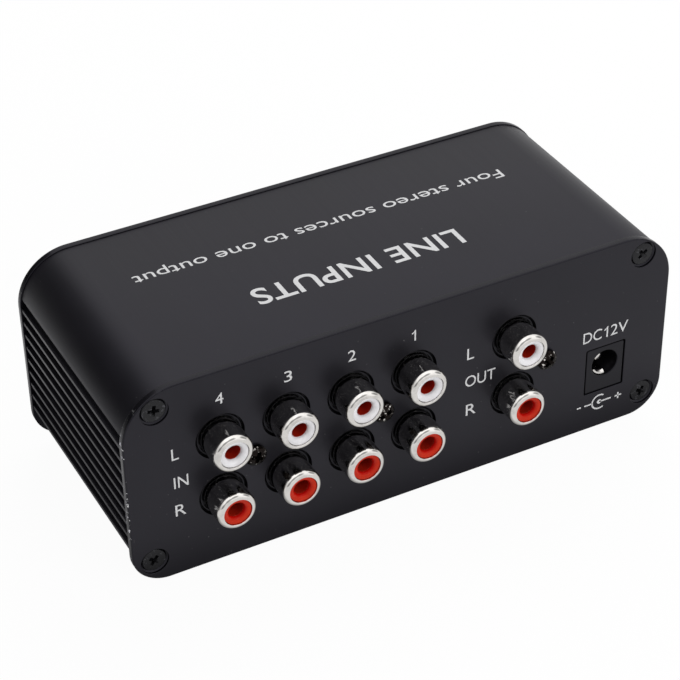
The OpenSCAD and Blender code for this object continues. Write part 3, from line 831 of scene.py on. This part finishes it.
class ControlSettings(bpy.types.PropertyGroup):
    """Sizes and colours of the front controls."""

    knob_colour: colour_of("Knob colour", "Anodised finish of the knob", (0.012, 0.012, 0.013))
    flute_count: IntProperty(
        name="Flutes", description="Grooves around the grip", default=40, min=12, max=80)
    flute_depth: length_of("Flute depth", "Depth of a groove in the grip", 0.35, 0.1, 0.8)
    steel_colour: colour_of("Encoder colour", "Plated steel of the encoder", (0.5, 0.5, 0.51))
    plunger_colour: colour_of("Plunger colour", "Plastic of the plunger", (0.75, 0.75, 0.74))
    lamp_colour: colour_of("Lamp colour", "Milky lens of the channel lamps", (0.7, 0.76, 0.85))
    window_colour: colour_of("Window colour", "Infrared window", (0.03, 0.003, 0.005))


class InsideSettings(bpy.types.PropertyGroup):
    """Colours of the boards and of the components on them."""

    board_colour: colour_of("Boards", "Solder mask of the boards", (0.012, 0.10, 0.035))
    relay_colour: colour_of("Relays", "Plastic of the relays", (0.7, 0.66, 0.55))
    chip_colour: colour_of("Chips", "Plastic of the chips and the header", (0.02, 0.02, 0.021))
    sleeve_colour: colour_of("Capacitors", "Sleeves of the capacitors", (0.012, 0.02, 0.08))


class StageSettings(bpy.types.PropertyGroup):
    """Camera, floor and light."""

    camera_place: FloatVectorProperty(
        name="Camera place", description="Where the camera stands", subtype="TRANSLATION", unit="LENGTH",
        default=(-166.55 * MM, -327.06 * MM, 285.27 * MM))
    camera_turn: angle_of("Camera turn", "Direction of view around the object", -27.139)
    camera_tilt: angle_of("Camera tilt", "Downward tilt of the view", 35.883)
    camera_roll: angle_of("Camera roll", "Sideways lean of the camera", -0.993)
    focal_length: FloatProperty(
        name="Focal length", description="Lens on a 36 mm sensor, in millimetres",
        subtype="DISTANCE_CAMERA", default=114.0, min=10, max=300)
    floor_colour: colour_of("Floor", "Pale floor", (0.6, 0.6, 0.6))
    key_power: power_of("Key light", "Large soft light above and beyond the object", 7.0)
    front_power: power_of("Front light", "Soft light on the jacks' side", 7.0)


class SelectorSettings(bpy.types.PropertyGroup):
    """Everything that a user would change."""

    case: PointerProperty(type=CaseSettings)
    jacks: PointerProperty(type=JackSettings)
    print: PointerProperty(type=PrintSettings)
    controls: PointerProperty(type=ControlSettings)
    inside: PointerProperty(type=InsideSettings)
    stage: PointerProperty(type=StageSettings)


def settings():
    """The scene's settings for the selector."""
    return bpy.context.scene.selector


# Steps


class SELECTOR_OT_stage(bpy.types.Operator):
    """Set the pale floor, the soft light and the camera"""

    bl_idname = "selector.stage"
    bl_label = "Stage"

    def execute(self, context):
        stage = settings().stage
        context.scene.view_settings.view_transform = "Standard"
        self.floor(stage)
        self.world(context)
        self.lamp("key", stage.key_power, place=(0.45, 0.5, 0.75), target=(0, 0, 0.02), size=0.9)
        self.lamp("front", stage.front_power, place=(0.25, -0.95, 0.5), target=(0, -0.03, 0.02), size=0.7)
        camera = bpy.data.cameras.new("camera")
        camera.sensor_width = 36
        camera.lens = stage.focal_length
        camera.clip_start = 0.01
        holder = bpy.data.objects.new("camera", camera)
        context.scene.collection.objects.link(holder)
        aim = Euler((math.pi / 2 - stage.camera_tilt, 0, stage.camera_turn)).to_matrix().to_4x4()
        lean = Matrix.Rotation(stage.camera_roll, 4, "Z")
        holder.matrix_world = Matrix.Translation(stage.camera_place) @ aim @ lean
        context.scene.camera = holder
        return {"FINISHED"}

    def floor(self, stage):
        """A wide pale floor that shows white to the camera and still takes the shadow."""
        pale = (0.97, 0.97, 0.97, 1)
        half_width, own_light = 6.0, 0.96
        # Glow of the floor in metal, how much of it fades far off, and how dark the painted contact shadow
        # beside the case is
        level, faded, contact = 0.8, 0.6, 0.3
        mesh = bmesh.new()
        bmesh.ops.create_grid(mesh, x_segments=2, y_segments=2, size=half_width)
        data = bpy.data.meshes.new("floor")
        mesh.to_mesh(data)
        mesh.free()
        floor = bpy.data.objects.new("floor", data)
        bpy.context.scene.collection.objects.link(floor)
        f = Finish.named("floor")
        seen, mirrored = self.rays(f)
        lighting = f.node("ShaderNodeBsdfDiffuse", inputs={"Color": rgba(stage.floor_colour)})
        showing = f.node("ShaderNodeBsdfDiffuse", inputs={"Color": pale})
        matt = f.node("ShaderNodeMixShader", inputs={0: seen, 1: lighting, 2: showing})
        # In metal the floor shows a painted contact shadow beside the case, and fades far off on the left
        # and behind
        beside = f.vector("SUBTRACT", f.vector("ABSOLUTE", f.place), (SHELL_HIGH.x, -REAR_Y, 0))
        reach = f.vector("LENGTH", f.vector("MAXIMUM", beside), output="Value")
        ahead = f.axis("Y").between(REAR_Y, 2 * REAR_Y)
        left = f.axis("X").between(SHELL_LOW.x + 10, SHELL_LOW.x - 30)
        far_off = reach.between(20, 220, 0, faded) * (1 - ahead) * left
        glow = seen + mirrored * reach.between(0, 18, contact, 1) * (level - far_off)
        dark = f.node("ShaderNodeEmission", inputs={"Strength": 0.0})
        white = f.node("ShaderNodeEmission", inputs={"Color": WHITE, "Strength": 1.0})
        shown = f.node("ShaderNodeMixShader", inputs={0: glow, 1: dark, 2: white})
        share = (seen + mirrored) * own_light
        both = f.node("ShaderNodeMixShader", inputs={0: share, 1: matt, 2: shown})
        f.node("ShaderNodeOutputMaterial", inputs={"Surface": both})
        data.materials.append(f.owner)

    def rays(self, f):
        """Whether the camera looks at a surface, and whether it is seen in metal or through glass."""
        seen = f.node("ShaderNodeLightPath", output="Is Camera Ray")
        shine = f.node("ShaderNodeLightPath", output="Is Glossy Ray")
        through = f.node("ShaderNodeLightPath", output="Is Transmission Ray")
        return seen, shine + through

    def world(self, context):
        """White for the camera, a pale tent with dark gaps for what mirrors it, and an even fill."""
        low, rise, fill = 0.25, 1.1, 0.3
        front_share, right_share, gap_depth, small_gap = 0.5, 0.35, 0.88, 0.75
        front_gaps = ((-0.367, -0.72, 0.587), (0.136, -0.665, 0.725), (-0.722, -0.661, 0.174),
                      (0.88, -0.31, 0.31))
        world = bpy.data.worlds.new("studio")
        context.scene.world = world
        f = Finish(world)
        seen, mirrored = self.rays(f)
        way = f.node("ShaderNodeTexCoord", output="Generated")
        gaps = self.patch(f, way, (-0.65, 0.72, 0.25), 0.7, 0.87)
        for towards in front_gaps:
            gaps = gaps + self.patch(f, way, towards, 0.93, 0.99) * small_gap
        height = f.along(way, "Z")
        front = f.along(way, "Y").between(0.2, -0.5)
        right = f.along(way, "X").between(0.3, 0.8)
        tent = low + height * rise + (front * front_share + right * right_share) * (1 - height)
        tent = tent * (1 - gaps * gap_depth)
        strength = seen + mirrored * tent + (1 - seen - mirrored) * fill
        peak = low + rise
        dark = f.node("ShaderNodeBackground", inputs={"Strength": 0.0})
        bright = f.node("ShaderNodeBackground", inputs={"Color": WHITE, "Strength": peak})
        sky = f.node("ShaderNodeMixShader", inputs={0: strength * (1 / peak), 1: dark, 2: bright})
        f.node("ShaderNodeOutputWorld", inputs={"Surface": sky})

    def patch(self, f, way, towards, edge, core):
        """How much of a soft round patch is seen in a direction."""
        aim = tuple(Vector(towards).normalized())
        return f.vector("DOT_PRODUCT", way, aim, output="Value").between(edge, core)

    def lamp(self, name, power, place, target, size):
        """A square soft light aimed at a point."""
        light = bpy.data.lights.new(name, "AREA")
        light.energy = power
        light.size = size
        holder = bpy.data.objects.new(name, light)
        bpy.context.scene.collection.objects.link(holder)
        holder.location = place
        holder.rotation_euler = (Vector(target) - Vector(place)).to_track_quat("-Z", "Y").to_euler()
        holder.visible_glossy = False


class SELECTOR_OT_shell(bpy.types.Operator):
    """Make the finned extrusion from the frame's own section, with eased edges"""

    bl_idname = "selector.shell"
    bl_label = "Shell"

    def execute(self, context):
        case = settings().case
        easing = case.edge_easing / MM
        length = SHELL_HIGH.y - SHELL_LOW.y
        wall = eased_wall(length, easing, easing)
        loops = [softened(loop, easing) for loop in section("case_shell")]
        mesh = plate([(loop, wall, False) for loop in loops], SHELL_LOW.y, 1)
        finish = anodised(
            "shell_anodising", case.shell_colour, roughness=0.4, specular=0.39, streak=(3.0, 0.04, 3.0))
        piece("shell", mesh, finish, replaces=["case_shell"])
        return {"FINISHED"}


class SELECTOR_OT_panels(bpy.types.Operator):
    """Make the two end panels with their holes, countersinks and worn rims"""

    bl_idname = "selector.panels"
    bl_label = "End panels"

    def execute(self, context):
        self.panel("rear_plate", "rear_panel", "rear_panel_screws", self.rear_holes(), REAR_Y, 1, 1.0)
        self.panel("front_plate", "front_panel", "front_panel_screws", self.front_holes(), FRONT_Y, -1, 0.15)
        return {"FINISHED"}

    def rear_holes(self):
        """Outlines of the holes for the jacks, the blocks' screws and the power inlet."""
        jacks = settings().jacks
        screw_hole, upper, lower = 1.6, 0.5, 0.3
        radius = jacks.hole_diameter / MM / 2
        holes = [ring_outline(middle(jack + "_shell").xz, radius, LARGE) for jack in JACKS]
        for node in ("input_block_screws", "output_block_screw"):
            holes += [ring_outline(face_centre(low, high), screw_hole) for low, high in islands(node)]
        low, high = box_mm("inlet_body")
        gap = jacks.inlet_gap / MM
        cut_out = box_outline((low.x - gap, low.z - gap), (high.x + gap, high.z + gap), upper, lower, 6)
        return holes + [turned(cut_out, False)]

    def front_holes(self):
        """Outlines of the holes for the knob's bushing, the lamps and the infrared window."""
        bushing_hole, lamp_hole, window_hole = 3.65, 1.55, 3.55
        holes = [ring_outline(middle("encoder_nut").xz, bushing_hole)]
        holes += [ring_outline(middle(f"channel_led_{i}").xz, lamp_hole, SMALL) for i in INPUTS]
        return holes + [ring_outline(middle("infrared_window").xz, window_hole)]

    def countersinks(self, node):
        """Walls of the holes under a node's screws: a mouth around the head, then the countersink."""
        mouth, sink_depth, shank = 0.5, 1.35, 1.6
        clearance, ease, ease_depth = 0.45, 0.08, 0.05
        walls = []
        for low, high in islands(node):
            wide = (high.x - low.x) / 2 + clearance - shank
            steps = [(wide + ease + BORDER, 0), (wide + ease, 0), (wide, ease_depth), (wide, mouth)]
            steps += [(0, sink_depth), (0, PANEL_T)]
            walls.append((ring_outline(face_centre(low, high), shank), steps, False))
        return walls

    def panel(self, name, node, screws, holes, y, inward, chipped):
        """One panel with its outline, plain holes and countersinks; chipped is how worn its rim is."""
        case = settings().case
        easing = case.edge_easing / MM
        low, high = box_mm(node)
        outline = box_outline(low.xz, high.xz, case.upper_radius / MM, case.lower_radius / MM, 24)
        walls = [(outline, eased_wall(PANEL_T, case.rim_easing / MM, easing, 5), False)]
        walls += [(hole, eased_wall(PANEL_T, easing, easing), False) for hole in holes]
        walls += self.countersinks(screws)
        mesh = plate(walls, y, inward)
        heart = Vector((0, 0, (low.z + high.z) / 2))
        side_zone = high.x - 8.01
        edge_zone = (high.z - low.z) / 2 - 0.5
        flat, outward = 0.97, 0.2

        def on_rim(face):
            away = face.calc_center_median() - heart
            near = abs(away.x) > side_zone or abs(away.z) > edge_zone
            leaning = face.normal.dot(away.normalized()) > outward
            return int(near and leaning and abs(face.normal.y) <= flat)

        finish = anodised(
            name + "_anodising", case.panel_colour, roughness=0.34, specular=0.36, streak=(0.5, 0.5, 0.5))
        rim = worn_rim(name + "_rim", case.panel_colour, case.bare_colour, chipped)
        piece(name, mesh, [finish, rim], replaces=[node], pick=on_rim)


class SELECTOR_OT_panel_screws(bpy.types.Operator):
    """Make the countersunk cross-head screws of both panels"""

    bl_idname = "selector.panel_screws"
    bl_label = "Panel screws"

    def execute(self, context):
        case = settings().case
        # Black plating with painted glints in small bright patches
        finish = rubbed_plating(
            "black_screw", case.screw_colour, roughness=0.28, metallic=0.6, bright=case.rubbed_colour)
        head, shank, sink, length, point = 2.5, 1.45, 0.4, 9.0, 0.6
        profile = [(0, sink - 0.05), (head - 0.5, sink - 0.03), (head - 0.12, sink + 0.03)]
        profile += [(head, sink + 0.14), (shank, sink + head - shank)]
        profile += [(shank, length - point), (shank - point, length), (0, length)]
        for name, node, outer, inward, turns in (
                ("rear_screws", "rear_panel_screws", REAR_Y, 1, (38, 10, 52, 24)),
                ("front_screws", "front_panel_screws", FRONT_Y, -1, (15, 60, 33, 78))):
            one = screw(profile, sink, case.flat_recess / MM)
            set_screws(name, node, one, outer, inward, turns, finish)
        return {"FINISHED"}


class SELECTOR_OT_feet(bpy.types.Operator):
    """Make the rubber feet with rounded edges and a hollow underneath"""

    bl_idname = "selector.feet"
    bl_label = "Feet"

    def execute(self, context):
        finish = rubber("foot_rubber", settings().case.rubber_colour)
        for i in range(1, 5):
            node = f"foot_{i}"
            low, high = box_mm(node)
            centre = middle(node)
            top = (high.x - low.x) / 2
            tall = high.z - low.z
            sole = top - tall / 2
            profile = [(0, 0.35), (sole - 2.2, 0.3), (sole - 1.6, 0), (sole - 0.3, 0)]
            profile += [(sole, 0.2), (top - 0.1, tall - 0.1), (top - 0.15, tall), (0, tall)]
            mesh = lathe(profile, Vector((centre.x, centre.y, low.z)), UP, MIDDLING)
            piece(f"rubber_foot_{i}", mesh, finish, replaces=[node])
        return {"FINISHED"}


class SELECTOR_OT_jacks(bpy.types.Operator):
    """Make the nickel barrels, their coloured insulators and the contacts in them"""

    bl_idname = "selector.jacks"
    bl_label = "Phono jacks"

    def execute(self, context):
        jacks = settings().jacks
        nickel = nickel_plate("barrel_nickel", jacks.nickel_colour, roughness=0.07)
        # Painted shade: the barrel behind the lip takes a darker copy of the nickel
        wall = nickel_plate("shaded_wall_nickel", jacks.wall_colour, roughness=0.1, dust=0.24)
        white = moulded("left_plastic", jacks.left_colour, roughness=0.3)
        # The right insulators' face, from which painted shade darkens their red inward
        face = box_mm("output_right_insulator")[0].y
        red = moulded("right_plastic", jacks.right_colour, roughness=0.22, specular=0.1,
                      painted_shade=jacks.deep_colour, face=face)
        for jack in JACKS:
            self.barrel(jack, [nickel, wall])
            if jack.endswith("left"):
                self.insulator(jack, white, "white_plastic")
            else:
                self.insulator(jack, red, "red_plastic")
        copper = rubbed_plating("socket_metal", jacks.contact_colour, roughness=0.4, metallic=0.3)
        self.contacts("input_sleeves", "input_contacts", copper)
        self.contacts("output_sleeves", "output_contacts", copper)
        return {"FINISHED"}

    def barrel(self, jack, finishes):
        """One barrel with its rolled lip, straight wall and the tail that is held in the block."""
        low, high = box_mm(jack + "_shell")
        centre = middle(jack + "_shell")
        wall, neck, entry, ease, slack = 0.55, 0.19, 0.5, 0.1, 0.05
        outer = (high.x - low.x) / 2
        lip = settings().jacks.lip_inner / MM / 2
        nose = outer - lip
        bore, tail = outer - wall, outer - neck
        step = REAR_Y + entry - low.y
        length = high.y - low.y
        profile = arc((lip, nose), nose, -90, 0, 12)
        profile += [(outer, step - ease), (outer - ease, step), (tail, step), (tail, length), (bore, length)]
        profile += [(bore, nose + slack), (lip + slack, nose + slack), (lip, nose)]
        profile += [(lip, ease), (lip + 0.06, 0.02)]
        mesh = lathe(profile, Vector((centre.x, low.y, centre.z)))

        # Faces behind the lip take the darker nickel, which is painted shade
        def behind_lip(face):
            return int(face.calc_center_median().y > low.y + nose)

        piece(jack + "_barrel", mesh, finishes, replaces=[jack + "_shell"], pick=behind_lip)

    def insulator(self, jack, finish, slot):
        """One insulator: a narrow rim inside the lip and a bell mouth down to the socket."""
        low, high = box_mm(jack + "_insulator")
        shell_low, shell_high = box_mm(jack + "_shell")
        centre = middle(jack + "_insulator")
        slack, ease = 0.05, 0.06
        outer = (high.x - low.x) / 2
        nose = settings().jacks.lip_inner / MM / 2 - slack
        shoulder = (shell_high.x - shell_low.x) / 2 - nose + shell_low.y - low.y + slack
        length = high.y - low.y
        guide, seat, rim, funnel = 1.65, 2.2, nose - 0.25, 0.9
        contact = box_mm("input_contacts")[0].y - low.y
        profile = [(nose - ease, 0)]
        profile += [(rim - (rim - guide) * math.sin(a), funnel * (1 - math.cos(a))) for a in quarter(8)]
        profile += [(guide, contact), (seat, contact), (seat, length), (outer, length), (outer, shoulder)]
        profile += [(nose, shoulder), (nose, ease)]
        mesh = lathe(profile, Vector((centre.x, low.y, centre.z)))
        piece(jack + "_socket", mesh, finish, replaces=[jack + "_insulator"])

    def contacts(self, name, node, finish):
        """The sleeves at the bottom of the sockets, with a rounded mouth."""
        wall, ease = 0.5, 0.05
        sleeves = []
        for low, high in islands(node):
            outer = (high.x - low.x) / 2
            inner = outer - wall
            length = high.y - low.y
            profile = [(outer, 0), (inner + ease, 0), (inner, ease), (inner, length), (outer, length)]
            x, z = face_centre(low, high)
            sleeves.append(lathe(profile, Vector((x, low.y, z)), segments=SMALL))
        piece(name, joined(*sleeves), finish, replaces=[node])


class SELECTOR_OT_jack_blocks(bpy.types.Operator):
    """Finish the jack blocks and make the pan-head screws that hold them"""

    bl_idname = "selector.jack_blocks"
    bl_label = "Jack blocks"

    def execute(self, context):
        jacks = settings().jacks
        plastic = moulded(
            "block_plastic", jacks.plastic_colour, roughness=0.3, specular=0.27, sheen=COOL_SHEEN)
        dress(plastic, "input_jack_block", "output_jack_block")
        # Dark plating of the pan-head screws with painted glints in small bright patches
        finish = rubbed_plating(
            "bronze_screw", jacks.bronze_colour, roughness=0.14, metallic=0.95, bright=jacks.glint_colour)
        low, high = islands("output_block_screw")[0]
        head, tall, shank, length = (high.x - low.x) / 2, REAR_Y - low.y, 1.45, high.y - REAR_Y
        crown, edge, ease, end = 0.55, 0.3, 0.08, 1.1
        profile = [(0, -tall)]
        profile += [(head * math.sin(a), -tall + crown * (1 - math.cos(a)) / (1 - math.cos(end)))
                    for a in (0.3, 0.6, 0.85, end)]
        profile += [(head, -tall + crown + edge), (head, -ease), (head - ease, 0), (shank, 0)]
        profile += [(shank, length - 0.8), (shank - 0.7, length), (0, length)]
        for name, node, turns in (("input_block_pan_screws", "input_block_screws", (20, 65)),
                                  ("output_block_pan_screw", "output_block_screw", (40,))):
            one = screw(profile, -tall, settings().case.pan_recess / MM)
            set_screws(name, node, one, REAR_Y, 1, turns, finish)
        return {"FINISHED"}


class SELECTOR_OT_power_inlet(bpy.types.Operator):
    """Make the power inlet with its plug hole, centre pin and spring"""

    bl_idname = "selector.power_inlet"
    bl_label = "Power inlet"

    def execute(self, context):
        jacks = settings().jacks
        low, high = box_mm("inlet_body")
        pin = middle("inlet_pin")
        hole = jacks.inlet_hole / MM / 2
        depth, mouth, ease, upper, lower, bottom = 10.5, 0.25, 0.15, 0.45, 0.25, 1.9
        outline = box_outline(low.xz, high.xz, upper, lower, 6)
        bore = [(mouth + BORDER, 0), (mouth, 0), (0.06, 0.1), (0, 0.3), (0, depth), (-bottom, depth)]
        walls = [(outline, eased_wall(high.y - low.y, ease, ease), False)]
        walls.append((ring_outline(pin.xz, hole), bore, True))
        mesh = plate(walls, low.y, 1)
        plastic = moulded("inlet_plastic", jacks.plastic_colour, roughness=0.34, texture=0.003,
                          specular=0.28, sheen=COOL_SHEEN)
        piece("power_socket", mesh, plastic, replaces=["inlet_body"])
        nickel = nickel_plate("pin_nickel", jacks.nickel_colour, roughness=0.14)
        self.pin(pin, low.y + depth, nickel)
        self.spring(pin, hole, nickel)
        return {"FINISHED"}

    def pin(self, centre, bottom, finish):
        """The centre pin with its rounded tip, thinner behind the bottom of the hole."""
        low, high = box_mm("inlet_pin")
        tip, neck = 0.55, 0.2
        radius = (high.x - low.x) / 2
        reach, length = bottom - low.y, high.y - low.y
        profile = [(0, 0)] + arc((radius - tip, tip), tip, -80, 0, 6)
        profile += [(radius, reach), (radius - neck, reach), (radius - neck, length), (0, length)]
        mesh = lathe(profile, Vector((centre.x, low.y, centre.z)), segments=SMALL)
        piece("power_pin", mesh, finish, replaces=["inlet_pin"])

    def spring(self, pin, hole, finish):
        """The leaf spring beside the pin, curled down at its front end to take the plug."""
        low, high = box_mm("inlet_spring")
        lean = middle("inlet_spring") - pin
        towards = math.atan2(lean.z, lean.x)
        outer, thick, curl, rise, half = hole - 0.2, 0.35, 1.0, 0.5, 0.6
        start, end = math.degrees(towards - half), math.degrees(towards + half)
        length = high.y - low.y
        rows = [(curl * k / 8, math.sin(a)) for k, a in enumerate(quarter(8))]
        rows += [(length * 0.4, 1.0), (length * 0.6, 0.6), (length * 0.8, 0.2), (length, 0.0)]
        mesh = bmesh.new()
        rings = []
        for along, lift in rows:
            radius = outer - rise * lift
            ring = arc(pin.xz, radius, start, end, 16) + arc(pin.xz, radius - thick, end, start, 16)
            rings.append([mesh.verts.new((x, low.y + along, z)) for x, z in ring])
        bridge(mesh, rings)
        for ring in (rings[0], rings[-1]):
            mesh.faces.new(ring)
        bmesh.ops.recalc_face_normals(mesh, faces=mesh.faces)
        piece("power_spring", mesh, finish, replaces=["inlet_spring"])


class SELECTOR_OT_labels(bpy.types.Operator):
    """Print the generic labels on the rear panel and on the top"""

    bl_idname = "selector.labels"
    bl_label = "Lettering"

    def execute(self, context):
        prints = settings().print
        ink = screen_ink("white_ink", prints.ink_colour)
        thickness = prints.ink_thickness / MM
        marks = self.figures_and_words(prints.cap_height / MM)
        marks += self.polarity_sign(middle("inlet_pin").x - 0.8, REAR_LOW.z + 6.5, prints.line_width / MM)
        piece("panel_print", inked(joined(*marks), thickness, -FROM_REAR), ink)
        marks = self.top_lines()
        piece("top_print", inked(joined(*marks), thickness, UP), ink)
        return {"FINISHED"}

    def mark(self, text, low, high):
        """One word or figure on the rear panel; a one has its own shape."""
        return figure_one(low, high, REAR_Y) if text == "1" else lettering(text, low, high, REAR_Y)

    def figures_and_words(self, tall):
        """The inputs' figures, which are a little lower than the capitals, and the words."""
        bottom, share, wide, narrow = REAR_LOW.z + 37.95, 0.93, 0.85, 0.45
        marks = []
        for i, shift in INPUT_FIGURES:
            x = middle(f"input_{i}_left_shell").x + shift
            half = narrow if i == 1 else wide
            marks.append(self.mark(str(i), (x - half, bottom), (x + half, bottom + tall * share)))
        for text, left, right, height in PANEL_WORDS:
            bottom = REAR_LOW.z + height
            marks.append(self.mark(text, (left, bottom), (right, bottom + tall)))
        return marks

    def polarity_sign(self, x, z, width):
        """The sign for a plug whose centre is positive: minus, an open ring, a dot and plus."""
        ring, dot, plus, plus_x = 1.75, 0.55, 0.8, x + 4.7
        lines = [[(x - 5.5, z), (x - 4.5, z)], [(x - 3.7, z), (x - ring, z)]]
        lines += [arc((x, z), ring, 55, 305, 32), [(x, z), (x + 2.9, z)]]
        lines += [[(plus_x - plus, z), (plus_x + plus, z)], [(plus_x, z - plus), (plus_x, z + plus)]]
        marks = [stroke(line, width, REAR_Y) for line in lines]
        blob = bmesh.new()
        blob.faces.new([blob.verts.new((px, REAR_Y, pz)) for px, pz in arc((x, z), dot, 0, 360, 20)[:-1]])
        return marks + [blob]

    def top_lines(self):
        """Two lines on the top that say what the object does, read from the front."""
        marks = []
        for text, left, right, near, far, weight in TOP_LINES:
            flat = lettering(text, (-right, 0), (-left, far - near), 0, weight)
            for v in flat.verts:
                v.co = Vector((-v.co.x, REAR_Y + far - v.co.z, SHELL_HIGH.z))
            marks.append(flat)
        return marks


class SELECTOR_OT_front_controls(bpy.types.Operator):
    """Make the fluted knob and finish the encoder, lamps and infrared window"""

    bl_idname = "selector.front_controls"
    bl_label = "Front controls"

    def execute(self, context):
        controls = settings().controls
        case = settings().case
        self.knob(controls)
        steel = nickel_plate("plated_steel", controls.steel_colour, roughness=0.28)
        dress(steel, "encoder_body", "encoder_nut", "encoder_shaft")
        dress(moulded("plunger_plastic", controls.plunger_colour, roughness=0.4), "push_plunger")
        # Black plating with painted glints in small bright patches
        black = rubbed_plating(
            "set_screw_black", case.screw_colour, roughness=0.34, metallic=0.6, bright=case.rubbed_colour)
        dress(black, "knob_set_screw")
        lamp = clear_lens("lamp_lens", controls.lamp_colour, roughness=0.12)
        dress(lamp, *[f"channel_led_{i}" for i in INPUTS])
        self.window(controls)
        return {"FINISHED"}

    def window(self, controls):
        """The infrared window, slightly domed, with its flange behind the panel."""
        low, high = box_mm("infrared_window")
        centre = middle("infrared_window")
        radius, flange, depth = 3.5, (high.x - low.x) / 2, high.y - low.y
        back = high.y - FRONT_Y + PANEL_T
        profile = [(0, -0.15), (radius - 0.6, -0.08), (radius - 0.12, 0.06), (radius, 0.2)]
        profile += [(radius, back), (flange, back), (flange, depth), (0, depth)]
        mesh = lathe(profile, Vector((centre.x, high.y, centre.z)), FROM_FRONT, MIDDLING)
        glass = clear_lens("window_glass", controls.window_colour, roughness=0.06)
        piece("infrared_lens", mesh, glass, replaces=["infrared_window"])

    def knob(self, controls):
        """The turned knob: dished face, eased edge, fluted grip, plain skirt and hollow underside."""
        low, high = box_mm("knob")
        centre = middle("knob")
        radius = (high.x - low.x) / 2
        tall = high.y - low.y
        depth = controls.flute_depth / MM
        face, skirt, dish, grip = radius - depth, tall - 2.0, 0.5, 1.0
        recess_r, recess, bore_r, bore = 7.6, 5.0, 3.05, 4.0
        profile = [(0, dish), (radius - 2.6, dish), (radius - 2.3, dish - 0.1), (radius - 2.1, 0.08)]
        profile += [(radius - 2.0, 0), (face - 0.9, 0), (face - 0.5, 0.1), (face - 0.15, 0.35), (face, 0.8)]
        profile += [(radius, 1.3), (radius, skirt - 0.3), (face, skirt), (radius - 0.05, skirt + 0.25)]
        profile += [(radius, skirt + 0.4), (radius, tall - 0.25), (radius - 0.25, tall)]
        profile += [(recess_r + 0.2, tall), (recess_r, tall - 0.2), (recess_r, tall - recess)]
        profile += [(bore_r, tall - recess), (bore_r, bore), (0, bore)]

        def fluted(r, along, angle):
            if r < radius - 0.01 or not grip < along < skirt:
                return r
            wave = math.cos(angle * controls.flute_count)
            return r - depth * max(0.0, wave) ** 0.6

        segments = controls.flute_count * 10
        mesh = lathe(profile, Vector((centre.x, high.y, centre.z)), FROM_FRONT, segments, fluted)
        finish = turned_metal("knob_anodising", controls.knob_colour, tuple(centre), roughness=0.34)
        piece("turned_knob", mesh, finish, body="knob", replaces=["knob"])


class SELECTOR_OT_inside(bpy.types.Operator):
    """Finish the boards and the components inside the case"""

    bl_idname = "selector.inside"
    bl_label = "Inside"

    def execute(self, context):
        inside = settings().inside
        board = circuit_board("solder_mask", inside.board_colour)
        relay = moulded("relay_plastic", inside.relay_colour, roughness=0.4)
        chip = moulded("chip_plastic", inside.chip_colour, roughness=0.5)
        sleeve = moulded("capacitor_sleeve", inside.sleeve_colour, roughness=0.3)
        dress(board, "main_board", "front_board")
        dress(relay, *[f"relay_{i}" for i in INPUTS])
        dress(chip, "microcontroller", "regulator", "board_header", "infrared_receiver")
        dress(sleeve, "filter_capacitors")
        return {"FINISHED"}


STEPS = (
    SELECTOR_OT_stage, SELECTOR_OT_shell, SELECTOR_OT_panels, SELECTOR_OT_panel_screws, SELECTOR_OT_feet,
    SELECTOR_OT_jacks, SELECTOR_OT_jack_blocks, SELECTOR_OT_power_inlet, SELECTOR_OT_labels,
    SELECTOR_OT_front_controls, SELECTOR_OT_inside)


class SELECTOR_PT_panel(bpy.types.Panel):
    """Steps that dress the selector, with its sizes and colours"""

    bl_idname = "SELECTOR_PT_panel"
    bl_label = "Source selector"
    bl_space_type = "VIEW_3D"
    bl_region_type = "UI"
    bl_category = "Selector"

    def draw(self, context):
        layout = self.layout
        for step in STEPS:
            layout.operator(step.bl_idname)
        for group in SelectorSettings.__annotations__:
            holder = getattr(context.scene.selector, group)
            layout.label(text=group.title())
            for name in holder.__annotations__:
                layout.prop(holder, name)


CLASSES = (CaseSettings, JackSettings, PrintSettings, ControlSettings, InsideSettings, StageSettings)
CLASSES += (SelectorSettings,) + STEPS + (SELECTOR_PT_panel,)


def register():
    """Adds the settings, operators and panel."""
    for cls in CLASSES:
        bpy.utils.register_class(cls)
    bpy.types.Scene.selector = PointerProperty(type=SelectorSettings)


def unregister():
    """Takes them away again."""
    del bpy.types.Scene.selector
    for cls in reversed(CLASSES):
        bpy.utils.unregister_class(cls)


def main():
    """Adds the settings and runs every step in order."""
    register()
    for step in STEPS:
        group, name = step.bl_idname.split(".")
        getattr(getattr(bpy.ops, group), name)()


if __name__ == "__main__":
    main()
